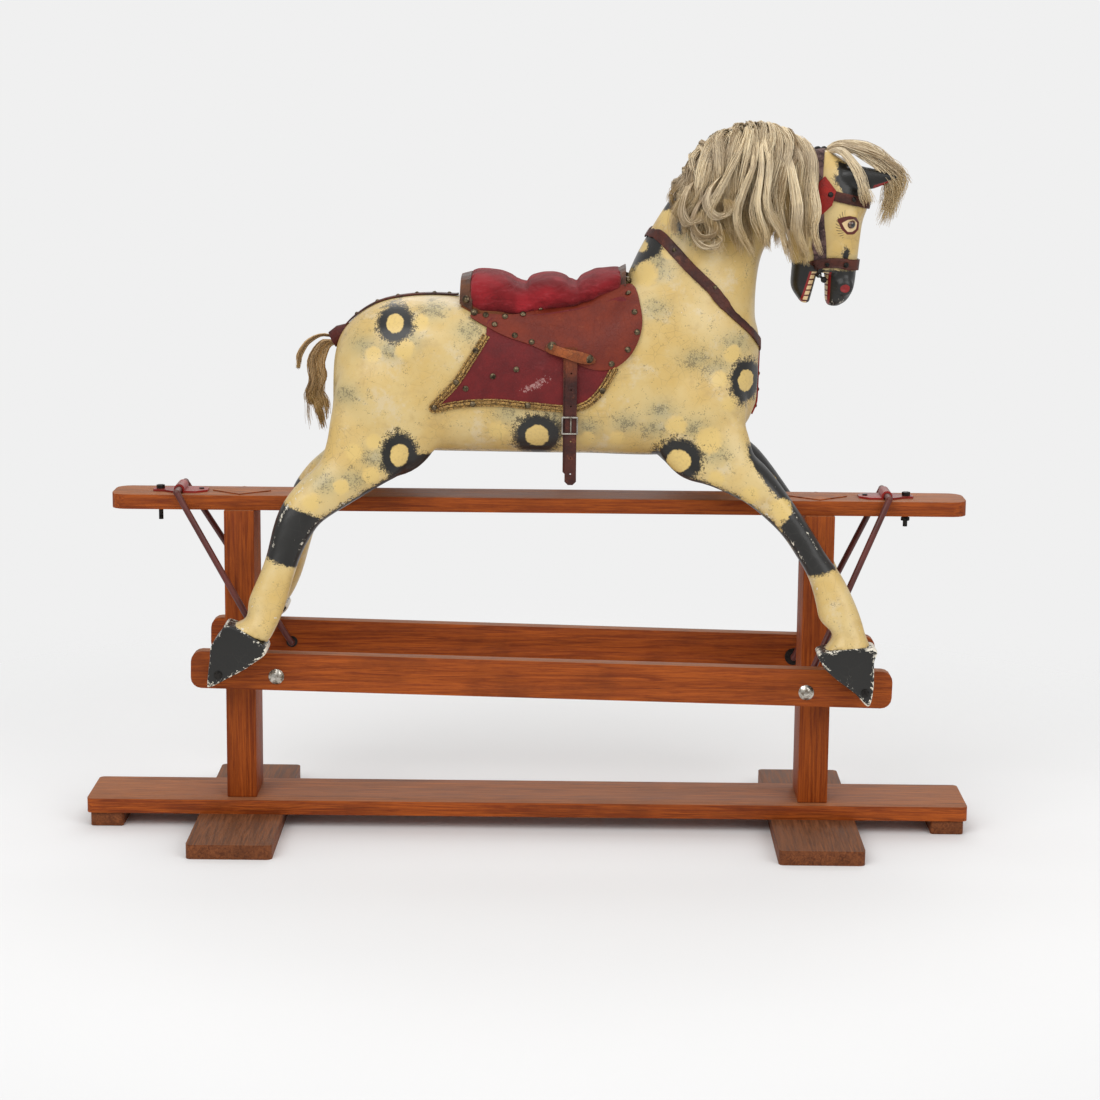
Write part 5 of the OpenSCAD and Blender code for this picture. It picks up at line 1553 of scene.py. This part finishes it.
class HORSE_OT_harness(bpy.types.Operator):
    """Lays the breast strap, chest strap and crupper with their nails"""

    bl_idname = "horse.harness"
    bl_label = "Harness"

    def execute(self, context):
        ground = MADE["ground"]
        right = np.array(BREAST, float)
        left = right.copy()
        right[:, 1] *= -1
        loop = np.concatenate([right, left[-2::-1]])
        path = smooth_path(loop, 170)
        across = flat_across(path)
        across *= np.where(across[:, 2:3] < 0, 1, -1)
        front = np.clip((path[:, 0] - 290) / 20, 0, 1)[:, None]
        across = across * (1 - front) + np.array([[0.0, 0.0, -1.0]]) * front
        across /= np.linalg.norm(across, axis=1, keepdims=True)
        strap_piece("breast_strap_leather", path, across, HARNESS_WIDTH, ground, HARNESS_LIFT, 2.6, "strap",
                    ("breast_strap",))
        for name, line, node, finish in (
            ("crupper_leather", CRUPPER, "crupper_strap", "strap"),
            ("chest_leather", CHEST, "chest_strap", "red"),
        ):
            flat = smooth_path(np.array(line, float), 60)
            path = np.stack([flat[:, 0], np.zeros(len(flat)), flat[:, 1]], -1)
            across = np.tile([[0.0, 1.0, 0.0]], (len(path), 1))
            strap_piece(name, path, across, HARNESS_WIDTH, ground, HARNESS_LIFT, 2.4, finish, (node,))
        self.studs(ground)
        return {"FINISHED"}

    def studs(self, ground):
        """Small nails along the crupper and chest straps and two on each side of the breast strap."""
        tree = tree_of(ground)
        found = [struck(tree, (x, 0, z + 60), (0, 0, -1)) for x, z in CRUPPER_NAILS]
        found += [struck(tree, (420, 0, z), (-1, 0, 0)) for z in CHEST_NAIL_HEIGHTS]
        found += [ray_ground(tree, x, z, side) for side in (-1, 1) for x, z in BREAST_NAILS]
        spots, normals = (np.array(values) for values in zip(*found))
        heads = joined("harness_nail_heads", nail_heads(spots + normals * 0.0034, normals, 0.0033))
        ridden(heads, "horse", "antique_brass", FINISH["brass"], "harness_nails")


class HORSE_OT_bridle(bpy.types.Operator):
    """Straps the bridle round the head, with its red diamonds and studs"""

    bl_idname = "horse.bridle"
    bl_label = "Bridle"

    def execute(self, context):
        ground = MADE["ground"]
        angle = np.linspace(0, 2 * np.pi, 90)
        nose = np.stack([420 + 36 * np.cos(angle), 44 * np.sin(angle), 627 - 0.06 * 36 * np.cos(angle)], -1)
        brow = smooth_path(BROWBAND, 80)
        cheek = smooth_path(CHEEK_STRAP, 150)
        for name, path, across, width, lift, thickness, finish, nodes in (
            ("noseband_leather", nose, (0, 0, 1), BRIDLE_WIDTH, BRIDLE_LIFT, 2.4, "strap", ("headstall",)),
            ("browband_leather", brow, (0.12, 0, 0.99), BRIDLE_WIDTH, BRIDLE_LIFT, 2.4, "strap", ()),
            ("cheek_strap_webbing", cheek, (1, 0, 0.06), 20, 1.2, 2.2, "mottled", ()),
        ):
            across = np.tile([across], (len(path), 1))
            strap_piece(name, path, across, width, ground, lift, thickness, finish, nodes)
        tree = tree_of(ground)
        studs = []
        for side, word in ((-1, "right"), (1, "left")):
            ring = np.array(DIAMOND, float)
            edges = zip(ring, np.roll(ring, -1, 0))
            outline = np.concatenate([np.linspace(a, b, 10, endpoint=False) for a, b in edges])
            points, faces, _ = patch(outline, 60, 8, side, 60)
            rosette = make_object(f"{word}_red_diamond", to_row(points), faces)
            wrapped(rosette, ground, 0.0046)
            thickened(rosette, 0.0016, 0.0005)
            ridden(rosette, "horse", "red_leather", FINISH["red"], *(("rosettes",) if side < 0 else ()))
            for (x, z), radius in BRIDLE_STUDS:
                hit, normal = ray_ground(tree, x, z, side)
                studs += nail_heads((hit + normal * 0.0056)[None], normal[None], radius)
        for x, radius in CROWN_KNOBS:
            hit, normal = struck(tree, (x, -6, 860), (0, 0, -1))
            studs += nail_heads((hit + normal * 0.003)[None], normal[None], radius)
        ridden(joined("bridle_studs", studs), "horse", "antique_brass", FINISH["steel"])
        return {"FINISHED"}


# ------------------------------------------------------------------ hair

MANE_GUIDES = np.array([
    [(182, 2, 728), (190, -32, 752), (186, -64, 738), (180, -76, 712), (190, -80, 676)],
    [(192, 2, 742), (200, -30, 773), (200, -64, 752), (196, -80, 706), (208, -86, 650)],
    [(210, 2, 758), (214, -26, 797), (212, -64, 772), (204, -84, 706), (222, -92, 640)],
    [(234, 2, 774), (238, -24, 814), (230, -64, 790), (222, -84, 706), (248, -93, 630)],
    [(260, 2, 786), (268, -22, 826), (256, -64, 800), (248, -82, 708), (276, -90, 632)],
    [(288, 2, 792), (294, -20, 830), (296, -62, 800), (284, -76, 712), (306, -84, 640)],
    [(312, 2, 794), (322, -20, 824), (336, -60, 792), (326, -71, 712), (344, -78, 626)],
    [(338, 2, 792), (346, -20, 812), (362, -56, 776), (360, -66, 706), (368, -74, 622)],
    [(356, 2, 788), (366, -18, 800), (378, -48, 768), (384, -60, 700), (390, -67, 636)],
], float)
CURLS = np.array([
    [(196, -84, 742), (186, -92, 722), (182, -96, 700), (192, -100, 684), (208, -100, 688), (212, -97, 702),
     (202, -95, 712)],
    [(214, -88, 724), (204, -96, 706), (200, -100, 684), (210, -103, 666), (226, -103, 668), (230, -100, 682),
     (222, -98, 692)],
    [(236, -84, 752), (222, -94, 734), (218, -99, 712), (230, -102, 696), (248, -101, 700), (252, -98, 716),
     (240, -96, 722)],
    [(206, -90, 690), (202, -97, 672), (210, -101, 656), (224, -101, 650), (236, -100, 658), (234, -98, 670),
     (226, -97, 672)],
], float)
SWEEPS = np.array([
    [(272, -14, 812), (274, -44, 819), (262, -74, 788), (240, -96, 736), (222, -100, 700), (230, -98, 664)],
    [(290, -14, 812), (294, -44, 820), (308, -76, 780), (304, -92, 716), (324, -92, 676), (334, -88, 636)],
    [(302, -12, 810), (318, -42, 812), (340, -70, 772), (352, -80, 716), (350, -84, 676), (372, -80, 630)],
    [(278, -14, 812), (284, -44, 820), (286, -80, 776), (264, -96, 712), (268, -98, 676), (290, -94, 636)],
    [(322, -12, 806), (342, -36, 804), (366, -62, 762), (378, -70, 712), (378, -76, 676), (392, -74, 640)],
    [(284, -14, 812), (290, -44, 820), (296, -80, 772), (288, -94, 716), (300, -94, 672), (310, -90, 640)],
], float)
FORELOCK_GUIDES = np.array([
    [(390, 8, 788), (420, 14, 804), (462, 16, 798), (494, 14, 772), (502, 14, 744), (496, 10, 698)],
    [(390, 3, 788), (418, -2, 802), (458, -6, 794), (490, -10, 768), (498, -12, 732), (488, -12, 676)],
    [(390, -2, 787), (416, -10, 797), (452, -18, 788), (482, -26, 762), (492, -30, 728), (474, -30, 672)],
    [(390, -6, 787), (416, -18, 798), (452, -30, 786), (482, -40, 764), (496, -42, 738), (482, -40, 684)],
    [(390, -8, 788), (418, -20, 800), (458, -36, 792), (492, -44, 774), (512, -44, 760), (521, -44, 746)],
], float)
FRINGE_GUIDES = np.array([
    [(392, -10, 788), (414, -30, 796), (436, -48, 776), (452, -53, 750), (460, -53, 728), (468, -48, 704)],
    [(392, -12, 787), (412, -34, 790), (430, -50, 768), (442, -55, 744), (448, -55, 726), (452, -52, 708)],
], float)
TAIL_GUIDES = np.array([
    [(-318, -6, 488), (-342, -10, 488), (-357, -12, 462), (-358, -12, 430), (-366, -10, 408), (-360, -9, 384),
     (-352, -8, 352)],
    [(-318, 0, 486), (-340, -2, 482), (-350, -4, 458), (-348, -4, 430), (-354, -4, 408), (-346, -4, 384),
     (-342, -4, 346)],
    [(-318, 5, 485), (-335, 4, 474), (-343, 4, 452), (-338, 4, 428), (-340, 4, 406), (-334, 4, 384),
     (-336, 2, 364)],
], float)
TAIL_ARCH = np.array([
    [(-318, -4, 494), (-344, -6, 498), (-366, -7, 486), (-377, -7, 466), (-378, -6, 450), (-380, -5, 442)],
    [(-318, 2, 490), (-344, 2, 494), (-364, 2, 482), (-374, 1, 464), (-376, 0, 452), (-379, 0, 444)],
], float)


def strand_paths(guides, count, locks, pull, wave, scatter, relief, rng, length=16):
    """Paths of many strands gathered in locks; each strand follows a blend of two neighbouring guides.

    A lock has one reach, one bend of two sines and one height above the rest. Its strands draw together
    towards the tip, and each adds a drift and a fine crimp of its own."""
    lines = smooth_path(guides, 90)
    last = len(guides) - 1
    start = rng.uniform(0, last, count)
    centres = np.sort(rng.uniform(0, last, locks))
    lock = np.abs(start[:, None] - centres[None]).argmin(1)
    along = np.linspace(0, 1, length)
    reach = rng.uniform(0.78, 1.0, locks)[lock] * rng.uniform(0.93, 1.0, count)
    step = (along[None] * reach[:, None] * 89).astype(int)
    drawn = pull * along[None] ** 0.8
    place = start[:, None] * (1 - drawn) + centres[lock][:, None] * drawn
    lower = np.clip(place.astype(int), 0, last - 1)
    part = (place - lower)[..., None]
    paths = lines[lower, step] * (1 - part) + lines[lower + 1, step] * part
    phase = rng.uniform(0, 2 * np.pi, (locks, 3))[lock][:, None]
    turns = rng.uniform(0.7, 1.5, (locks, 1))[lock][:, None]
    t = along[None, :, None]
    bend = np.sin(2 * np.pi * turns * t + phase) + 0.35 * np.sin(4.6 * np.pi * turns * t + 2 * phase)
    sway = bend * t ** 0.7
    size = np.interp(start, np.linspace(0, last, len(wave)), wave)[:, None, None]
    paths = paths + sway * size * np.array([1.0, 0.25, 0.5])
    paths[..., 1] -= (rng.uniform(0, relief, locks)[lock][:, None]) * np.sin(np.pi * along[None] ** 0.6)
    drift = rng.normal(0, 1, (count, 1, 3)) * scatter * (0.3 + 0.9 * t) * np.array([1.0, 0.8, 0.6])
    own = rng.uniform(0, 2 * np.pi, (count, 1, 3))
    crimp = np.sin(own + 2 * np.pi * 2.6 * t) * scatter * 0.4 * t
    return paths + drift * np.minimum(1, 6 * t) + crimp, lock


def hair_piece(name, guides, count, locks, pull, wave, scatter, relief, radius, seed, deep=0.0):
    """Strands as thin three-sided rods that taper to their tips, each marked with its own tone less its
    layer's painted shade.
    """
    rng = np.random.default_rng(seed)
    paths, lock = strand_paths(guides, count, locks, pull, wave, scatter, relief, rng)
    length = paths.shape[1]
    along = np.linspace(0, 1, length)
    taper = (1 - 0.7 * along ** 3)[None] * rng.uniform(0.65, 1.2, (count, 1)) * radius
    points, faces = tubes(to_row(paths), taper, 3)
    hair = make_object(name, points, faces)
    # deep is painted shade taken from the tone of a layer or lock; below zero it is a painted highlight
    tone = np.clip(rng.normal(0.55, 0.2, count) + rng.normal(0, 0.2, locks)[lock] - deep, 0, 1)
    mark(hair, "tone", np.repeat(tone, length * 3))
    mark(hair, "along", np.tile(np.repeat(along, 3), count))
    return hair


def hair_bed(name, guides, sink, thickness, finish, slot, nodes):
    """A ridged sheet through the guides, drawn in towards the neck, so that no wood shows between strands;
    its low tone is painted shade between them.
    """
    lines = smooth_path(np.swapaxes(smooth_path(guides, 40), 0, 1), 150)
    across = np.linspace(0, 1, 150)
    ridges = 1.6 * np.sin(across * 95) + 1.1 * np.sin(across * 41 + 1)
    grid = lines.copy()
    grid[..., 1] += sink + ridges[None] * np.linspace(0.2, 1, 40)[:, None]
    points = grid[:34]
    bed = make_object(name, to_row(points.reshape(-1, 3)), [grid_faces(34, 150)])
    thickened(bed, thickness)
    outward(bed)
    count = len(bed.data.vertices)
    local = to_horse(places_of(bed.data))
    # painted shade: the bed's tone stays low, so that it shows dark between the strands
    mark(bed, "tone", np.clip(0.2 + 0.2 * np.sin(local[:, 0] * 0.8), 0, 1))
    mark(bed, "along", np.full(count, 0.5))
    return ridden(bed, "horse", slot, FINISH[finish], *nodes)


class HORSE_OT_mane(bpy.types.Operator):
    """Combs the mane down the right side of the neck"""

    bl_idname = "horse.mane"
    bl_label = "Mane"

    def execute(self, context):
        s = settings_of(context)
        hair_bed("mane_bed", MANE_GUIDES[:8], 8.0, 0.004, "hair", "hair", ("mane",))
        inner = MANE_GUIDES[:8] + np.array([0.0, 3.0, -2.0])
        outer = MANE_GUIDES + np.array([0.0, -1.5, 0.0])
        # deep: painted shade on the under locks, which lie beneath the over locks, and a little on the over
        # locks
        for name, guides, seed, deep, count, locks in (
            ("mane_under_locks", inner, s.seed, 0.2, s.mane_strands, 40),
            ("mane_over_locks", outer, s.seed + 1, 0.02, s.mane_strands, 34),
        ):
            hair = hair_piece(name, guides, count, locks, 0.9, (15, 13, 9, 8, 7), 2.6, 9.0, s.strand_radius,
                              seed, deep)
            ridden(hair, "horse", "hair", FINISH["hair"])
        # deep: painted shade on the curls, a painted highlight on the sweeps that lie on top
        for k, (guide, deep) in enumerate([(g, 0.3) for g in CURLS] + [(g, -0.22) for g in SWEEPS]):
            pair = np.stack([guide + (3, -1, 2), guide - (3, 1, 2)])
            hair = hair_piece(f"mane_lock_{k}", pair, 130, 3, 0.5, (3, 3), 2.2, 2.0, s.strand_radius * 0.9,
                              s.seed + 20 + k, deep)
            ridden(hair, "horse", "hair", FINISH["hair"])
        return {"FINISHED"}


class HORSE_OT_forelock(bpy.types.Operator):
    """Throws the forelock forward over the ears"""

    bl_idname = "horse.forelock"
    bl_label = "Forelock"

    def execute(self, context):
        s = settings_of(context)
        thin = s.strand_radius * 0.85
        # the last number is deep: painted shade on the forelock locks, a painted highlight on the fringe
        hair = hair_piece("forelock_locks", FORELOCK_GUIDES, 1200, 26, 0.4, (4, 4), 4.2, 4.0, thin,
                          s.seed + 2, 0.04)
        ridden(hair, "horse", "hair", FINISH["hair"], "forelock")
        fringe = hair_piece("forelock_fringe", FRINGE_GUIDES, 90, 3, 0.5, (2, 2), 2.6, 1.0, thin, s.seed + 4,
                            -0.1)
        ridden(fringe, "horse", "hair", FINISH["hair"])
        return {"FINISHED"}


class HORSE_OT_tail(bpy.types.Operator):
    """Hangs the thin tail from its red dock"""

    bl_idname = "horse.tail"
    bl_label = "Tail"

    def execute(self, context):
        s = settings_of(context)
        # the last number is deep: no painted shade on the tail locks, a little on the arch
        hair = hair_piece("tail_locks", TAIL_GUIDES, s.tail_strands, 9, 0.35, (4, 5), 2.2, 3.0,
                          s.strand_radius, s.seed + 3, 0.0)
        ridden(hair, "horse", "hair", FINISH["tail_hair"], "tail")
        arch = hair_piece("tail_arch", TAIL_ARCH, 110, 2, 0.8, (1, 1), 1.2, 0.5, s.strand_radius, s.seed + 5,
                          0.1)
        ridden(arch, "horse", "hair", FINISH["tail_hair"])
        return {"FINISHED"}


# ------------------------------------------------------------------ stand and metal

TIMBERS = {
    "base_board": ("timber_x", "stand_wood"), "rear_cross_foot": ("old_timber_y", "worn_wood"),
    "front_cross_foot": ("old_timber_y", "worn_wood"), "end_blocks": ("old_timber_y", "worn_wood"),
    "rear_post": ("timber_z", "stand_wood"), "front_post": ("timber_z", "stand_wood"),
    "top_rail": ("timber_x", "stand_wood"), "right_rail": ("timber_x", "stand_wood"),
    "left_rail": ("timber_x", "stand_wood"),
}
NODE_FINISHES = {
    "foot_screws": "steel", "rear_diamond_plate": "timber_x", "front_diamond_plate": "timber_x",
    "rear_hanger_bracket": "bracket", "front_hanger_bracket": "bracket", "hanger_bolts": "steel",
    "hanger_nuts": "steel", "hanger_screws": "steel", "rear_swing_iron": "iron", "front_swing_iron": "iron",
    "rear_pivot_washers": "steel", "front_pivot_washers": "steel", "pivot_caps": "nickel",
    "hoof_bolts": "steel", "hoof_nuts": "steel", "saddle_block": "old_timber_x", "cantle_band": "band",
    "pommel_band": "band",
    "right_stirrup_strap": "stirrup", "left_stirrup_strap": "stirrup", "right_buckle": "nickel",
    "left_buckle": "nickel", "bit": "steel", "tail_dock": "dock",
}


class HORSE_OT_stand(bpy.types.Operator):
    """Eases the arrises of the stand's timbers and finishes every other frame piece"""

    bl_idname = "horse.stand"
    bl_label = "Stand and metal"

    def execute(self, context):
        for node, (finish, slot) in TIMBERS.items():
            self.eased(node, finish, slot)
        for node, finish in NODE_FINISHES.items():
            mesh = frame["nodes"][node].data
            mesh.materials.clear()
            mesh.materials.append(FINISH[finish])
        return {"FINISHED"}

    def eased(self, node, finish, slot):
        """A copy of a frame timber with its doubles merged, its flats rejoined and its arrises rounded."""
        timber_piece = bpy.data.objects.new("timber_" + node, frame["nodes"][node].data.copy())
        bpy.context.scene.collection.objects.link(timber_piece)
        work = bmesh.new()
        work.from_mesh(timber_piece.data)
        bmesh.ops.remove_doubles(work, verts=work.verts, dist=1e-5)
        bmesh.ops.dissolve_limit(work, angle_limit=0.01, verts=work.verts, edges=work.edges)
        work.to_mesh(timber_piece.data)
        work.free()
        ease = timber_piece.modifiers.new("ease", "BEVEL")
        ease.width = 0.0016
        ease.segments = 2
        ease.limit_method = "ANGLE"
        ease.angle_limit = math.radians(40)
        finished(timber_piece)
        timber_piece.data.shade_smooth()
        body = body_of(frame["nodes"][node])[0]
        ridden(timber_piece, body, slot, FINISH[finish], node)


# Yaw, pitch and roll in degrees.
CAMERA_TURN = (0.22, 10.76, 0.53)
CAMERA_PLACE = (0.047, -4.095, 1.202)
CAMERA_LENS = 89.93
FLOOR_REACH = 2.6
# Name, place, width and power of each soft light.
LIGHTS = [
    ("key", (-1.7, -3.0, 3.0), 2.6, 67), ("fill", (2.4, -2.8, 2.4), 2.4, 43),
    ("back", (0.4, 3.0, 3.0), 2.8, 39), ("over", (0.0, 0.0, 4.0), 3.0, 24),
]


class HORSE_OT_stage(bpy.types.Operator):
    """Sets the camera, the soft lights and the pale floor"""

    bl_idname = "horse.stage"
    bl_label = "Stage"

    def execute(self, context):
        scene = context.scene
        yaw, pitch, roll = (math.radians(a) for a in CAMERA_TURN)
        right = Vector((math.cos(yaw), math.sin(yaw), 0))
        ahead = Vector((-math.sin(yaw) * math.cos(pitch), math.cos(yaw) * math.cos(pitch), -math.sin(pitch)))
        up = right.cross(ahead)
        turned = math.cos(roll) * right + math.sin(roll) * up
        upright = math.cos(roll) * up - math.sin(roll) * right
        data = bpy.data.cameras.new("camera")
        data.sensor_width = 36
        data.lens = CAMERA_LENS
        data.clip_end = 60
        camera = bpy.data.objects.new("camera", data)
        scene.collection.objects.link(camera)
        basis = Matrix((turned, upright, -ahead)).transposed().to_4x4()
        camera.matrix_world = Matrix.Translation(CAMERA_PLACE) @ basis
        scene.camera = camera
        scene.view_settings.view_transform = "Standard"
        world = bpy.data.worlds.new("studio")
        world.use_nodes = True
        sky = world.node_tree
        backdrop = sky.nodes["Background"]
        backdrop.inputs[0].default_value = colour((0.941, 0.941, 0.941))
        seen = add(sky, "LightPath").outputs["Is Camera Ray"]
        sky.links.new(ramped(sky, seen, 0.0, 1.0, 0.66, 1.0), backdrop.inputs[1])
        scene.world = world
        for name, place, size, power in LIGHTS:
            light = bpy.data.lights.new(name, "AREA")
            light.size = size
            light.energy = power
            lamp = bpy.data.objects.new(name, light)
            scene.collection.objects.link(lamp)
            aim = (Vector((0, 0, 0.5)) - Vector(place)).to_track_quat("-Z", "Y")
            lamp.matrix_world = Matrix.Translation(place) @ aim.to_matrix().to_4x4()
        self.floor()
        return {"FINISHED"}

    def floor(self):
        """A flat floor that takes shadows and fades to the backdrop: alpha = 1 - smooth step of radius."""
        points = [(x, y, 0.0) for y in (-FLOOR_REACH, FLOOR_REACH) for x in (-FLOOR_REACH, FLOOR_REACH)]
        floor = make_object("pale_floor", points, [grid_faces(2, 2)])
        material, tree, shader = new_material("pale_floor")
        place = own_place(tree)
        dapple = noise(tree, place, 1.5, 2.0)
        base = mixed(tree, dapple, (0.925, 0.925, 0.925), (0.935, 0.935, 0.935))
        away = add(tree, "VectorMath", {0: place}, operation="LENGTH").outputs["Value"]
        feed(tree, shader, Base_Color=base, Roughness=0.9, Specular_IOR_Level=0.1,
             Alpha=ramped(tree, away, 0.85, 1.75, 1.0, 0.0))
        floor.data.materials.append(material)


CLASSES = [
    HorseSettings, HORSE_OT_stage, HORSE_OT_finishes, HORSE_OT_body, HORSE_OT_hooves, HORSE_OT_head,
    HORSE_OT_saddle, HORSE_OT_seat, HORSE_OT_harness, HORSE_OT_bridle, HORSE_OT_mane, HORSE_OT_forelock,
    HORSE_OT_tail, HORSE_OT_stand,
]


class HORSE_PT_panel(bpy.types.Panel):
    """Lists the steps that make the horse"""

    bl_idname = "HORSE_PT_panel"
    bl_label = "Rocking horse"
    bl_space_type = "VIEW_3D"
    bl_region_type = "UI"
    bl_category = "Rocking horse"

    def draw(self, context):
        for step in STEPS:
            self.layout.operator(step.bl_idname)
        for key in HorseSettings.__annotations__:
            self.layout.prop(settings_of(context), key)


STEPS = [c for c in CLASSES if issubclass(c, bpy.types.Operator)]


def register():
    """Adds the settings, the operators and the panel."""
    for item in CLASSES + [HORSE_PT_panel]:
        bpy.utils.register_class(item)
    setattr(bpy.types.Scene, PROPERTY_NAME, PointerProperty(type=HorseSettings))


def unregister():
    """Takes them away again."""
    delattr(bpy.types.Scene, PROPERTY_NAME)
    for item in reversed(CLASSES + [HORSE_PT_panel]):
        bpy.utils.unregister_class(item)


def clear_moulds():
    """Removes the hidden forms that pieces were laid on."""
    ground = MADE.pop("ground", None)
    if ground is not None:
        bpy.data.objects.remove(ground)


def corners(box):
    """The two corners of a box as plain lists."""
    return [list(corner) for corner in box]


def main():
    """Makes every piece in order."""
    register()
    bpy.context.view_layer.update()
    for step in STEPS:
        group, _, name = step.bl_idname.partition(".")
        getattr(getattr(bpy.ops, group), name)()
    clear_moulds()


if __name__ == "__main__":
    main()
